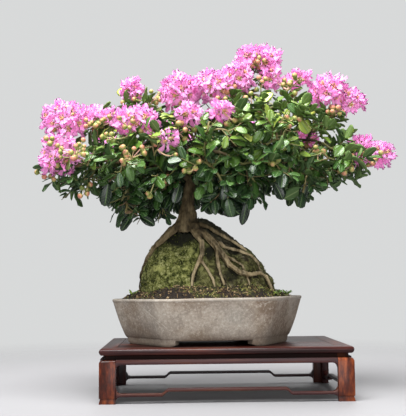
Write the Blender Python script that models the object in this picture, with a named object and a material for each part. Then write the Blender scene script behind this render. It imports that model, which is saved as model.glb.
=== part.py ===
"""Crepe myrtle bonsai grown over a rock, in a low pot on a small wooden stand.

Lengths are in millimetres until a mesh is made, which turns them into metres.
X runs to the right, Y to the back and Z up from the surface that the stand's feet rest on.
"""
import math
import random

import bmesh
import bpy
import numpy as np
from mathutils import Matrix, Vector, noise
from mathutils.bvhtree import BVHTree

MM = 0.001
GAP = 0.3
SHARP_ANGLE = math.radians(40)

# The stand: a mitred top frame round a panel, on a leg frame with low stretcher rails.
STAND_WIDTH = 298.5
STAND_DEPTH = 200.0
STAND_HEIGHT = 63.5
PLATE_THICKNESS = 8.0
PLATE_MEMBER = 20.0
PANEL_THICKNESS = 6.5
WAIST_HEIGHT = 4.5
WAIST_INSET = 5.8
WAIST_THICKNESS = 9.0
APRON_HEIGHT = 6.0
LEG_WIDTH = 19.5
BOARD_THICKNESS = 9.0
FOOT_HEIGHT = 5.8
CORNER_SWEEP = 6.0
RAIL_THICKNESS = 3.7
RAIL_LOW = 8.0
RAIL_RISE = 5.6
RAIL_STEP = 8.0
RAIL_RAISED_SHARE = 0.56
RAIL_DEPTH = 7.0
# How far a rail's lower edge drops at the legs, as a share of its rise above.
RAIL_FLARE = 0.55

# The pot: a hexagon with soft corners, turned a little on the stand.
POT_CENTRE = (-19.0, -3.0)
POT_YAW = math.radians(4.0)
POT_HALF_WIDTH = 126.5
POT_HALF_DEPTH = 101.0
POT_FACET_HALF = 68.0
POT_CORNER_RADIUS = 30.0
POT_HEIGHT = 57.3
POT_FOOT = 6.3
POT_FLOOR = 7.0
POT_WALL = 8.0
DRAIN_RADIUS = 8.0
DRAIN_SPACING = 62.0
FOOT_LONG_ARM = 78.0
FOOT_SHORT_ARM = 8.0
FOOT_OUTER = 14.5
FOOT_INNER = 28.0
FOOT_CURL = 2.0
# How far in the foot's outer face lies, as a share of its width: at its base, and where it meets the wall.
FOOT_TAPER = 0.16
FOOT_SEAT = 0.10
# The rim rises a little from left to right, as hand-made clay does: its slope at the top.
POT_LEAN = 0.009

# The soil, heaped against the rock.
SOIL_BELOW_RIM = 3.2
SOIL_HEAP = 17.5
# A mossy mound in front, to the right: its middle, how far it spreads, and its height.
SOIL_MOUND = (54.0, -50.0, 20.0, 8.0)

# The rock: the reach of its outline to the left, right, front and back at each height.
ROCK_OUTLINE = [
    (100.0, -100.0, 64.0, -58.0, 54.0),
    (120.0, -107.0, 71.0, -64.0, 60.0),
    (134.0, -107.0, 70.0, -64.0, 60.0),
    (147.0, -105.0, 67.0, -61.0, 57.0),
    (157.0, -103.0, 55.0, -58.0, 53.0),
    (169.0, -98.0, 48.0, -53.0, 48.0),
    (182.0, -91.0, 37.0, -46.0, 41.0),
    (195.0, -79.0, 19.0, -38.0, 33.0),
    (207.0, -68.0, 5.0, -29.0, 23.0),
    (219.0, -50.0, -10.0, -16.0, 9.0),
]
ROCK_SIDES = 24
ROCK_LEVELS = 10
ROCK_CRAG = 4.2

# Roots over the rock's front, as places across (X) and up (Z), with a thickness at each end.
# Each runs down the face of the rock, and the last point is in the soil.
FRONT_ROOTS = [
    ([(-50, 216), (-62, 204), (-75, 193), (-87, 181), (-96, 166), (-103, 150), (-105, 128)], 6.6, 2.3),
    ([(-42, 214), (-37, 203), (-27, 188), (-27, 174), (-31, 164), (-38, 149), (-41, 126)], 4.6, 1.9),
    ([(-29, 168), (-21, 155), (-14, 143), (-10, 126)], 2.2, 1.6),
    ([(-38, 208), (-30, 203), (-21, 196), (-11, 185), (-2, 172), (6, 160), (18, 151), (33, 148),
      (44, 150), (53, 145), (62, 126)], 5.8, 2.3),
    ([(-9, 182), (-8, 166), (-5, 149), (3, 126)], 3.2, 1.9),
    ([(-32, 206), (-14, 193), (2, 182), (20, 178), (35, 172), (43, 163), (47, 148)], 2.9, 1.7),
    ([(-36, 213), (-20, 209), (-4, 199), (12, 190), (30, 178)], 3.3, 1.8),
    ([(-2, 174), (12, 166), (22, 160), (30, 140), (33, 126)], 2.2, 1.5),
]
# Roots over the rock's far side, the same way.
BACK_ROOTS = [
    ([(-46, 215), (-52, 198), (-62, 178), (-70, 155), (-74, 126)], 5.0, 2.2),
    ([(-40, 213), (-30, 196), (-18, 176), (-8, 152), (-4, 126)], 5.2, 2.2),
    ([(-52, 212), (-70, 196), (-86, 172), (-94, 148), (-97, 126)], 3.4, 1.8),
]
# Every root that starts this high begins in the foot of the trunk.
ROOT_HEART = (-44.0, -13.0, 213.0)
ROOT_FORK_HEIGHT = 200.0
ROOT_SIDES = 5
ROOT_SUNK = 0.45
# Farther out than any point of the rock.
FAR_OUT = 400.0
# How much wider than the wood, or the rock, the hollows cut for them are.
CUT_CLEARANCE = 0.5

# The trunk and the main limbs: points with a radius, and how many sides each kind of wood has.
TRUNK = [
    (-44, -14, 205, 14.5), (-45, -16, 216, 13.8), (-44, -17, 226, 11.8), (-44, -17, 236, 9.4),
    (-43, -16, 248, 7.7), (-39, -13, 268, 6.8), (-29, -8, 288, 6.2), (-20, -4, 304, 5.3), (-6, 0, 325, 4.2),
    (14, 2, 350, 3.2), (32, 0, 374, 2.3),
]
TRUNK_SIDES = 8
LIMB_SIDES = 5
BRANCH_SIDES = 3
LIMBS = [
    [(-38, -12, 270, 4.4), (-62, -22, 283, 3.7), (-98, -30, 290, 3.0), (-140, -30, 292, 2.2)],
    [(-28, -8, 290, 4.2), (-50, 2, 318, 3.5), (-84, 8, 338, 2.7), (-112, 4, 350, 2.0)],
    [(-20, -4, 304, 4.3), (14, -12, 316, 3.6), (62, -16, 322, 2.9), (112, -12, 322, 2.1)],
    [(-30, -9, 286, 3.6), (-28, -44, 298, 2.9), (-14, -78, 298, 2.1)],
    [(-22, -5, 300, 3.9), (-28, 36, 315, 3.0), (-38, 74, 318, 2.1)],
    [(-6, 0, 325, 3.5), (32, 36, 336, 2.8), (74, 62, 332, 2.0)],
]

# The shoots of each leafy spray, as the places of their tips, and what each tip bears:
# flowers (a count), buds (a count) or nothing.
SPRAYS = {
    "leaves_far_left_upper": [(-205, -15, 336, "flowers", 5), (-160, 18, 350, "buds", 2)],
    "leaves_far_left_middle": [(-198, -58, 292, "flowers", 5), (-217, -22, 276, "buds", 2)],
    "leaves_left_low": [(-168, -50, 257, "buds", 2), (-196, 25, 262, "leaves", 0)],
    "leaves_left_drooping": [(-120, -66, 224, "leaves", 0), (-132, -10, 236, "leaves", 0)],
    "leaves_left_crest": [(-116, 0, 374, "flowers", 3), (-92, -12, 366, "buds", 2)],
    "leaves_left_front": [(-112, -64, 322, "flowers", 5), (-120, -98, 284, "buds", 2)],
    "leaves_trunk_left": [(-80, -28, 235, "leaves", 0), (-72, -86, 264, "buds", 2)],
    "leaves_crest_left": [(-46, -34, 366, "flowers", 5), (-48, -88, 322, "flowers", 3)],
    "leaves_crest_middle": [(8, -32, 378, "flowers", 5), (14, -92, 330, "flowers", 3)],
    "leaves_front_low": [(-36, -124, 274, "buds", 2), (4, -84, 240, "leaves", 0)],
    "leaves_front_right": [(64, -98, 280, "buds", 3), (42, -70, 252, "leaves", 0)],
    "leaves_top": [(50, 2, 421, "flowers", 5), (28, 40, 398, "leaves", 0)],
    "leaves_top_right": [(86, -14, 388, "flowers", 3), (100, -52, 344, "buds", 2)],
    "leaves_right_crest": [(156, -8, 358, "flowers", 5), (128, 34, 358, "leaves", 0)],
    "leaves_far_right": [(190, -2, 300, "flowers", 5), (164, -42, 292, "buds", 2)],
    "leaves_right_low": [(136, -24, 274, "leaves", 0), (100, -46, 250, "leaves", 0)],
    "leaves_right_inner": [(114, 42, 318, "flowers", 2), (176, 48, 280, "leaves", 0)],
    "leaves_back_left": [(-150, 88, 314, "flowers", 3), (-120, 108, 268, "leaves", 0)],
    "leaves_back_middle": [(-62, 118, 334, "flowers", 4), (-40, 124, 276, "leaves", 0)],
    "leaves_back_right": [(42, 118, 338, "flowers", 3), (50, 124, 276, "leaves", 0)],
    "leaves_back_far_right": [(122, 96, 318, "leaves", 0), (110, 106, 268, "leaves", 0)],
}
FORK_PULL = 46.0
BRANCH_SHARE = 0.55
BRANCH_RADII = (2.5, 1.7)
STEM_RADII = (1.7, 1.2)
# Leaves along a shoot, by what its tip bears. A leafy tip has one more leaf at its end.
LEAVES_PER_SHOOT = {"flowers": 3, "buds": 4, "leaves": 3}
LEAF_LENGTH = (23.0, 30.0)
LEAF_WIDTH_SHARE = 0.60
LEAF_KEEL = 1.3
LEAF_WAVE = 0.9
FLOWER_RADIUS = 14.5
FLOWER_THICKNESS = 0.8
FLOWER_SPACING = 20.0
STALK_RADIUS = 0.8
BUD_RADIUS = 3.4
CROWN_HEART = Vector((-10.0, 0.0, 285.0))
# Branches leave the wood above this height.
BRANCHES_ABOVE = 262.0
# A shoot is tried this many times, its fork moved a little further each time.
SHOOT_TRIES = 60
SHOOT_NUDGE = 0.35
BALL_STEP = 4.0
SHOOT_CLEARANCE = 1.2
# A leaf is turned this much about its shoot at each try, and made smaller after half the tries.
LEAF_TRIES = 16
LEAF_TURN = 0.9
LEAF_SMALLER = 0.85
# A blade's cross-sections: how far along, half its width, and how far it sinks, as shares.
LEAF_SECTIONS = [(0.0, 0.012, 0.0), (0.38, 0.42, 0.02), (0.70, 0.49, 0.10)]
LEAF_TIP_SINK = 0.24
# How near a blade may come to others of its own spray, as a share of the usual distance.
OWN_SHARE = 0.62
# Each flower keeps a ball of this radius to itself.
FLOWER_ROOM = 7.0
FLOWER_HEAD_REACH = 8.0
# How far below its petals a flower's stalk begins.
FLOWER_NECK = 1.3
GOLDEN_ANGLE = math.pi * (3 - math.sqrt(5))


# Materials


def material(name, colour, roughness):
    """A Principled BSDF with this base colour and roughness, and no metal."""
    made = bpy.data.materials.new(name)
    made.use_nodes = True
    shader = made.node_tree.nodes["Principled BSDF"]
    shader.inputs["Base Color"].default_value = (*colour, 1.0)
    shader.inputs["Roughness"].default_value = roughness
    shader.inputs["Metallic"].default_value = 0.0
    return made


# Mesh helpers


def to_object(name, points, faces, finish):
    """An object from points in millimetres, with its faces turned outwards."""
    mesh = bpy.data.meshes.new(name)
    mesh.from_pydata([Vector(p) * MM for p in points], [], faces)
    shape = bmesh.new()
    shape.from_mesh(mesh)
    bmesh.ops.recalc_face_normals(shape, faces=shape.faces)
    if shape.calc_volume(signed=True) < 0:
        bmesh.ops.reverse_faces(shape, faces=shape.faces)
    bmesh.ops.triangulate(shape, faces=[face for face in shape.faces if len(face.verts) > 4])
    shape.to_mesh(mesh)
    shape.free()
    mesh.shade_smooth()
    mesh.set_sharp_from_angle(angle=SHARP_ANGLE)
    mesh.materials.append(finish)
    obj = bpy.data.objects.new(name, mesh)
    bpy.context.scene.collection.objects.link(obj)
    return obj


def loft(rings):
    """Points and faces of a skin over rings of equal length, with flat ends."""
    count = len(rings[0])
    points = [point for ring in rings for point in ring]
    faces = []
    for level in range(len(rings) - 1):
        low = level * count
        for i in range(count):
            j = (i + 1) % count
            faces.append((low + i, low + j, low + count + j, low + count + i))
    faces.append(tuple(reversed(range(count))))
    faces.append(tuple(range(len(points) - count, len(points))))
    return points, faces


def tube(path, radii, sides):
    """Points and faces of a tapered tube along a path, with flat ends."""
    rings = []
    across = None
    for i, point in enumerate(path):
        ahead = path[min(i + 1, len(path) - 1)] - path[max(i - 1, 0)]
        ahead.normalize()
        if across is None:
            across = ahead.orthogonal().normalized()
        across = (across - ahead * across.dot(ahead)).normalized()
        beside = ahead.cross(across)
        ring = []
        for k in range(sides):
            angle = 2 * math.pi * k / sides
            ring.append(point + (across * math.cos(angle) + beside * math.sin(angle)) * radii[i])
        rings.append(ring)
    return loft(rings)


def outline_slab(name, outline, start, end, finish):
    """A flat outline (across, up) given a depth along Y."""
    rings = [[Vector((x, depth, z)) for x, z in outline] for depth in (start, end)]
    return to_object(name, *loft(rings), finish)


def apply_modifiers(obj):
    """Replaces the object's mesh by what its modifiers make of it."""
    graph = bpy.context.evaluated_depsgraph_get()
    finished = bpy.data.meshes.new_from_object(obj.evaluated_get(graph))
    obj.modifiers.clear()
    obj.data = finished
    return obj


def boolean(obj, others, operation, solver="EXACT"):
    """Joins or cuts the object with all the others at once, and removes them."""
    group = bpy.data.collections.new("boolean pieces")
    bpy.context.scene.collection.children.link(group)
    for other in others:
        for holder in list(other.users_collection):
            holder.objects.unlink(other)
        group.objects.link(other)
    made = obj.modifiers.new("boolean", "BOOLEAN")
    made.operation = operation
    made.operand_type = "COLLECTION"
    made.collection = group
    made.solver = solver
    apply_modifiers(obj)
    for other in others:
        bpy.data.objects.remove(other)
    bpy.data.collections.remove(group)
    return keep_largest(obj, merge_flat=solver == "EXACT")


def keep_largest(obj, merge_flat):
    """Keeps the largest closed piece, which also fills sealed hollows and drops loose scraps."""
    shape = bmesh.new()
    shape.from_mesh(obj.data)
    left = set(shape.verts)
    islands = []
    while left:
        seed = left.pop()
        island = {seed}
        edge = [seed]
        while edge:
            for link in edge.pop().link_edges:
                for vert in link.verts:
                    if vert in left:
                        left.discard(vert)
                        island.add(vert)
                        edge.append(vert)
        islands.append(island)
    islands.sort(key=len, reverse=True)
    loose = [vert for island in islands[1:] for vert in island]
    bmesh.ops.delete(shape, geom=loose, context="VERTS")
    if merge_flat:
        bmesh.ops.dissolve_limit(
            shape, angle_limit=math.radians(0.5), verts=shape.verts, edges=shape.edges, use_dissolve_boundaries=False
        )
        bmesh.ops.triangulate(shape, faces=shape.faces)
    shape.to_mesh(obj.data)
    shape.free()
    return obj


# Stand


def quarter_turned(obj, turns):
    """The object turned about the stand's middle by quarter turns."""
    obj.data.transform(Matrix.Rotation(turns * math.pi / 2, 4, "Z"))
    return obj


def top_member(name, half_length, half_depth, finish):
    """A front member of the top frame: bullnosed outside, mitred at both ends."""
    top = STAND_HEIGHT
    low = STAND_HEIGHT - PLATE_THICKNESS
    profile = [
        (2.6, top), (0.8, top - 1.3), (0.0, top - 3.6), (0.7, top - 6.0), (2.4, low),
        (PLATE_MEMBER - GAP, low), (PLATE_MEMBER - GAP, top),
    ]
    rings = []
    for side in (-1, 1):
        ring = []
        for inset, z in profile:
            ring.append(Vector((side * (half_length - inset - GAP * 0.75), -half_depth + inset, z)))
        rings.append(ring)
    return to_object(name, *loft(rings), finish)


def stand_top(finish):
    """The four mitred members and the panel between them."""
    half_w, half_d = STAND_WIDTH / 2, STAND_DEPTH / 2
    top_member("stand_top_front", half_w, half_d, finish)
    quarter_turned(top_member("stand_top_back", half_w, half_d, finish), 2)
    quarter_turned(top_member("stand_top_right", half_d, half_w, finish), 1)
    quarter_turned(top_member("stand_top_left", half_d, half_w, finish), 3)
    edge = PLATE_MEMBER
    outline = [
        (-half_w + edge, STAND_HEIGHT - PANEL_THICKNESS), (half_w - edge, STAND_HEIGHT - PANEL_THICKNESS),
        (half_w - edge, STAND_HEIGHT), (-half_w + edge, STAND_HEIGHT),
    ]
    outline_slab("stand_panel", outline, -half_d + edge, half_d - edge, finish)


def swept_corner(x_end, z_flat, steps=3):
    """Points of a quarter round from an apron's flat lower edge down to the leg at its right."""
    out = []
    for k in range(steps + 1):
        angle = math.pi / 2 * k / steps
        across = x_end - CORNER_SWEEP * (1 - math.sin(angle))
        down = z_flat - CORNER_SWEEP * (1 - math.cos(angle))
        out.append((across, down))
    return out


def apron(name, half_span, half_depth, finish):
    """A front apron under its recessed waist, with ends that sweep down to the legs."""
    reach = half_span - LEG_WIDTH - GAP
    top = STAND_HEIGHT - PLATE_THICKNESS - GAP - WAIST_HEIGHT
    low = top - APRON_HEIGHT
    right = swept_corner(reach, low)
    left = [(-x, z) for x, z in reversed(right)]
    outline = left + right + [(reach, top), (-reach, top)]
    board = outline_slab(name, outline, -half_depth, -half_depth + BOARD_THICKNESS, finish)
    waist_outline = [
        (-reach, top - 1.0), (reach, top - 1.0), (reach, top + WAIST_HEIGHT), (-reach, top + WAIST_HEIGHT),
    ]
    front = -half_depth + WAIST_INSET
    waist = outline_slab("waist", waist_outline, front, front + WAIST_THICKNESS, finish)
    return boolean(board, [waist], "UNION")


def leg_section(inset, z, corner):
    """One level of a leg: an L round the stand's corner, its outer corner rounded."""
    far = LEG_WIDTH
    thick = BOARD_THICKNESS
    ring = [Vector((far, inset, z)), Vector((far, thick, z)), Vector((thick, thick, z))]
    ring += [Vector((thick, far, z)), Vector((inset, far, z))]
    for k in range(4):
        angle = math.pi + math.pi / 2 * k / 3
        ring.append(Vector((inset + corner * (1 + math.cos(angle)), inset + corner * (1 + math.sin(angle)), z)))
    return ring


def leg(name, side_x, side_y, finish):
    """A leg with its foot: flared at the ground, rounded at the top, recessed at the waist."""
    shoulder = STAND_HEIGHT - PLATE_THICKNESS - GAP - WAIST_HEIGHT
    levels = [
        (0.0, 0.0, 1.2), (1.3, FOOT_HEIGHT, 1.2), (0.1, FOOT_HEIGHT + 0.8, 1.6),
        (0.1, shoulder - 4.0, 2.0), (1.2, shoulder - 1.4, 3.0), (3.6, shoulder, 3.6), (WAIST_INSET, shoulder + 0.2, 3.0),
        (WAIST_INSET, shoulder + WAIST_HEIGHT, 3.0),
    ]
    rings = [leg_section(inset, z, corner) for inset, z, corner in levels]
    points, faces = loft(rings)
    half_w, half_d = STAND_WIDTH / 2, STAND_DEPTH / 2
    placed = []
    for point in points:
        x = side_x * (half_w - point.x)
        y = side_y * (half_d - point.y)
        placed.append(Vector((x, y, point.z)))
    return to_object(name, placed, faces, finish)


def rail_edge(reach, lift, end_sweep):
    """One long edge of a stretcher rail: low by the legs, stepping up to its middle part."""
    raised = reach * RAIL_RAISED_SHARE
    out = []
    for across in (0.0, 0.4 * CORNER_SWEEP, CORNER_SWEEP):
        rise = CORNER_SWEEP - math.sqrt(CORNER_SWEEP ** 2 - (CORNER_SWEEP - across) ** 2)
        out.append((reach - across, RAIL_LOW + lift + end_sweep * rise))
    for share in (0.0, 0.3, 0.7, 1.0):
        smooth = share * share * (3 - 2 * share)
        out.append((raised + RAIL_STEP * (0.5 - share), RAIL_LOW + lift + RAIL_RISE * smooth))
    return out


def rail(name, half_span, half_depth, finish):
    """A front stretcher rail between two legs."""
    reach = half_span - LEG_WIDTH - GAP
    upper = rail_edge(reach, RAIL_THICKNESS, 1.0)
    lower = rail_edge(reach, 0.0, -RAIL_FLARE)
    upper_all = upper + [(-x, z) for x, z in reversed(upper)]
    lower_all = lower + [(-x, z) for x, z in reversed(lower)]
    outline = upper_all + list(reversed(lower_all))
    front = -half_depth + 1.0
    return outline_slab(name, outline, front, front + RAIL_DEPTH, finish)


def stand(finish):
    """The whole stand."""
    stand_top(finish)
    half_w, half_d = STAND_WIDTH / 2, STAND_DEPTH / 2
    for maker, word in ((apron, "apron"), (rail, "rail")):
        maker(f"stand_{word}_front", half_w, half_d, finish)
        quarter_turned(maker(f"stand_{word}_back", half_w, half_d, finish), 2)
        quarter_turned(maker(f"stand_{word}_right", half_d, half_w, finish), 1)
        quarter_turned(maker(f"stand_{word}_left", half_d, half_w, finish), 3)
    for name, side_x, side_y in (
        ("front_left", -1, -1), ("front_right", 1, -1), ("back_left", -1, 1), ("back_right", 1, 1),
    ):
        leg(f"stand_leg_{name}", side_x, side_y, finish)


# Pot


def hexagon_corners(inset):
    """The pot's plan before rounding, moved in on every side by the inset."""
    w, d, f = POT_HALF_WIDTH, POT_HALF_DEPTH, POT_FACET_HALF
    slope = math.atan2(d, w - f)
    tip = w - inset / math.sin(slope)
    front = d - inset
    corner = f - inset * (1 - math.cos(slope)) / math.sin(slope)
    return [(tip, 0), (corner, front), (-corner, front), (-tip, 0), (-corner, -front), (corner, -front)]


def pot_plan(inset, z, corner_steps=3, side_steps=1):
    """A ring of the pot's plan: a hexagon with rounded corners, turned and in its place."""
    corners = [Vector(c) for c in hexagon_corners(inset)]
    ring = []
    for i, corner in enumerate(corners):
        before, after = corners[i - 1], corners[(i + 1) % 6]
        to_before = (before - corner).normalized()
        to_after = (after - corner).normalized()
        half = math.acos(max(-1.0, min(1.0, to_before.dot(to_after)))) / 2
        radius = POT_CORNER_RADIUS - 0.35 * inset
        run = radius / math.tan(half)
        end = corner + to_after * run
        middle = corner + (to_before + to_after).normalized() * (radius / math.sin(half))
        spoke = corner + to_before * run - middle
        first_angle = math.atan2(spoke.y, spoke.x)
        for k in range(corner_steps + 1):
            angle = first_angle + (math.pi - 2 * half) * k / corner_steps
            ring.append(middle + Vector((math.cos(angle), math.sin(angle))) * radius)
        following = corners[(i + 1) % 6]
        next_run_start = following - to_after * run
        for k in range(1, side_steps):
            ring.append(end.lerp(next_run_start, k / side_steps))
    turn = Matrix.Rotation(POT_YAW, 2)
    slope = POT_LEAN * min(1.0, max(0.0, (z - POT_BASE_Z) / POT_HEIGHT))
    placed = []
    for point in ring:
        x, y = turn @ point
        placed.append(Vector((x + POT_CENTRE[0], y + POT_CENTRE[1], z + slope * x)))
    return placed


POT_BASE_Z = STAND_HEIGHT + GAP
RIM_Z = STAND_HEIGHT + POT_HEIGHT
POT_FLOOR_Z = POT_BASE_Z + POT_FOOT + POT_FLOOR
# The pot's outer wall from the base up: how far in from the rim's line, and how high.
POT_OUTSIDE = [
    (25.0, POT_FOOT), (18.4, POT_FOOT + 0.6), (15.4, 9.5), (12.8, 15.0), (8.0, 29.0), (1.3, 52.6),
    (0.4, 53.4), (0.0, 55.6), (1.0, POT_HEIGHT - GAP),
]
# The inside, from the rim down.
POT_INSIDE = [
    (POT_WALL - 1.0, POT_HEIGHT - GAP), (POT_WALL + 0.4, 55.6), (POT_WALL + 4.6, 40.0), (POT_WALL + 9.6, 24.0),
    (POT_WALL + 16.0, POT_FOOT + POT_FLOOR),
]


def foot(corner_index, long_first, finish):
    """A bracket foot that follows the pot's base round one corner."""
    corner_steps, side_steps = 3, 8
    outer = pot_plan(FOOT_OUTER, 0.0, corner_steps, side_steps)
    inner = pot_plan(FOOT_INNER, 0.0, corner_steps, side_steps)
    middle = corner_index * (corner_steps + side_steps) + corner_steps // 2
    arms = (FOOT_LONG_ARM, FOOT_SHORT_ARM) if long_first else (FOOT_SHORT_ARM, FOOT_LONG_ARM)
    halves = []
    for step, arm in zip((-1, 1), arms):
        chosen = [middle % len(outer)]
        travelled = 0.0
        while travelled < arm:
            following = (chosen[-1] + step) % len(outer)
            travelled += (outer[following] - outer[chosen[-1]]).length
            chosen.append(following)
        halves.append(chosen)
    order = list(reversed(halves[0]))[:-1] + halves[1]
    rings = []
    for place, index in enumerate(order):
        lift = POT_BASE_Z + (FOOT_CURL if place in (0, len(order) - 1) else 0.0)
        top = POT_BASE_Z + POT_FOOT + 2.5
        low_out = outer[index].lerp(inner[index], FOOT_TAPER)
        high_out = outer[index].lerp(inner[index], FOOT_SEAT)
        rings.append([
            low_out + Vector((0, 0, lift)), inner[index] + Vector((0, 0, lift)),
            inner[index] + Vector((0, 0, top)), high_out + Vector((0, 0, top)),
        ])
    return to_object("foot", *loft(rings), finish)


def pot(finish):
    """The pot's one ceramic body: wall, floor, feet and two drain holes."""
    rings = [pot_plan(inset, POT_BASE_Z + z) for inset, z in POT_OUTSIDE + POT_INSIDE]
    body = to_object("pot", *loft(rings), finish)
    feet = [foot(1, True, finish), foot(2, False, finish), foot(4, True, finish), foot(5, False, finish)]
    boolean(body, feet, "UNION")
    cutters = []
    for side in (-1, 1):
        x, y = POT_CENTRE[0] + side * DRAIN_SPACING / 2, POT_CENTRE[1]
        ring = []
        for z in (POT_BASE_Z - 5, POT_FLOOR_Z + 5):
            ring.append([
                Vector((x + DRAIN_RADIUS * math.cos(a * math.pi / 6), y + DRAIN_RADIUS * math.sin(a * math.pi / 6), z))
                for a in range(12)
            ])
        cutters.append(to_object("drain", *loft(ring), finish))
    return boolean(body, cutters, "DIFFERENCE")


# Rock


def along_table(table, z):
    """A row of the table, read smoothly at a height."""
    if z <= table[0][0]:
        return table[0][1:]
    for low, high in zip(table, table[1:]):
        if z <= high[0]:
            t = (z - low[0]) / (high[0] - low[0])
            return tuple(a + (b - a) * t for a, b in zip(low[1:], high[1:]))
    return table[-1][1:]


def rock_rings(grow=0.0):
    """The rock's level outlines, craggy above the soil, grown outwards by a clearance."""
    low, high = ROCK_OUTLINE[0][0], ROCK_OUTLINE[-1][0]
    rings = []
    for level in range(ROCK_LEVELS):
        share = level / (ROCK_LEVELS - 1)
        z = low + (high - low) * share ** 0.92
        left, right, front, back = along_table(ROCK_OUTLINE, z)
        middle = Vector(((left + right) / 2, (front + back) / 2, z))
        craggy = min(1.0, max(0.0, (z - RIM_Z - 6) / 14))
        ring = []
        for k in range(ROCK_SIDES):
            angle = 2 * math.pi * k / ROCK_SIDES
            c, s = math.cos(angle), math.sin(angle)
            x = (right - left) / 2 * math.copysign(abs(c) ** 0.9, c)
            y = (back - front) / 2 * math.copysign(abs(s) ** 0.9, s)
            point = middle + Vector((x, y, 0))
            out = Vector((x, y, 0)).normalized()
            rough = noise.noise(point / 21.0) + 0.5 * noise.noise(point / 9.0)
            point += out * (ROCK_CRAG * rough * craggy + grow)
            if 0 < level < ROCK_LEVELS - 1:
                point.z += 2.0 * noise.noise(point / 15.0 + Vector((7, 3, 1))) * craggy
            ring.append(point)
        rings.append(ring)
    peak = rings[-1]
    middle = sum(peak, Vector()) / len(peak)
    for shrink, rise in ((0.62, 2.6), (0.25, 3.6)):
        rings.append([middle + (point - middle) * shrink + Vector((0, 0, rise + grow)) for point in peak])
    if grow:
        rings[0] = [point - Vector((0, 0, grow)) for point in rings[0]]
    return rings


# Soil


def soil(finish):
    """The filled soil inside the pot, heaped towards the rock."""
    floor = POT_FLOOR_Z + GAP
    wall = [(POT_WALL + 16.6, floor), (POT_WALL + 10.3, POT_BASE_Z + 24.0), (POT_WALL + 5.3, POT_BASE_Z + 40.0)]
    wall.append((POT_WALL + 1.8, RIM_Z - SOIL_BELOW_RIM - 0.4))
    rings = [pot_plan(inset, z) for inset, z in wall]
    edge = rings[-1]
    middle = Vector((POT_CENTRE[0], POT_CENTRE[1], 0))
    for share in (0.93, 0.84, 0.72, 0.56, 0.34, 0.12):
        ring = []
        for point in edge:
            at = middle + (point - middle) * share
            heap = SOIL_HEAP * min(1.0, (1 - share) / 0.30) ** 0.8
            lumps = 1.3 * noise.noise(Vector((at.x, at.y, 0)) / 16.0)
            away = (Vector((at.x, at.y)) - Vector(SOIL_MOUND[:2])).length / SOIL_MOUND[2]
            mound = SOIL_MOUND[3] * math.exp(-away * away)
            ring.append(Vector((at.x, at.y, RIM_Z - SOIL_BELOW_RIM + heap + mound + lumps)))
        rings.append(ring)
    return to_object("soil", *loft(rings), finish)


# Trunk, roots and branches


def root_path(points, rock_skin, far_side):
    """The root's course laid on the rock's face, the last point going down into the soil."""
    out = []
    towards = Vector((0, -1, 0)) if far_side else Vector((0, 1, 0))
    for x, z in points:
        start = Vector((x, 0, max(z, RIM_Z + SOIL_HEAP))) - towards * FAR_OUT
        hit, normal, _, _ = rock_skin.ray_cast(start, towards)
        if hit is None:
            hit, normal, _, _ = rock_skin.find_nearest(Vector((x, 0, z)))
        out.append((Vector((hit.x, hit.y, z)), normal))
    return out


def root_tube(points, thick, thin, rock_skin, far_side, grow):
    """One root, grown outwards by a clearance where it is used as a cutter."""
    course = root_path(points, rock_skin, far_side)
    count = len(course)
    path, radii = [], []
    if points[0][1] > ROOT_FORK_HEIGHT:
        path.append(Vector(ROOT_HEART))
        radii.append(thick + grow)
    for i, (hit, normal) in enumerate(course):
        radius = thick + (thin - thick) * i / (count - 1)
        path.append(hit + normal * radius * ROOT_SUNK)
        radii.append(radius + grow)
    if grow:
        path[-1] = path[-1] - Vector((0, 0, grow))
    return tube(path, radii, ROOT_SIDES)


def wood_tubes(rock_skin, grow=0.0):
    """Every tube of the trunk, roots and limbs, as points and faces."""
    tubes = []
    for table, far_side in ((FRONT_ROOTS, False), (BACK_ROOTS, True)):
        for points, thick, thin in table:
            tubes.append(root_tube(points, thick, thin, rock_skin, far_side, grow))
    tubes.append(tube([Vector(p[:3]) for p in TRUNK], [p[3] + grow for p in TRUNK], TRUNK_SIDES))
    return tubes


# Growth of the crown


class Room:
    """Balls along all that has grown, so that what comes next keeps clear of it."""

    def __init__(self):
        self.balls = np.zeros((30000, 4))
        self.owners = np.zeros(30000, dtype=int)
        self.count = 0
        self.names = {}

    def number(self, owner):
        return self.names.setdefault(owner, len(self.names))

    def fill(self, points, radii, owner):
        for point, radius in zip(points, radii):
            self.balls[self.count] = (*point, radius)
            self.owners[self.count] = self.number(owner)
            self.count += 1

    def free(self, points, radii, owner, gap, own_share):
        """True where each ball keeps the gap to other owners' balls, and a share of it to its own."""
        balls = self.balls[:self.count]
        own = self.owners[:self.count] == self.number(owner)
        share = np.where(own, own_share, 1.0)
        for point, radius in zip(points, radii):
            away = np.linalg.norm(balls[:, :3] - np.array(point), axis=1)
            if np.any(away < (balls[:, 3] + radius + gap) * share):
                return False
        return True


def spaced(path, step):
    """Points along a path about a step apart."""
    out = [path[0]]
    for a, b in zip(path, path[1:]):
        parts = max(1, round((b - a).length / step))
        out += [a.lerp(b, k / parts) for k in range(1, parts + 1)]
    return out


def random_step(rng, size):
    return Vector((rng.uniform(-size, size), rng.uniform(-size, size), rng.uniform(-size, size)))


def limb_paths():
    """The trunk and main limbs as lists of (point, radius)."""
    return [[(Vector(row[:3]), row[3]) for row in table] for table in [TRUNK] + LIMBS]


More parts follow.
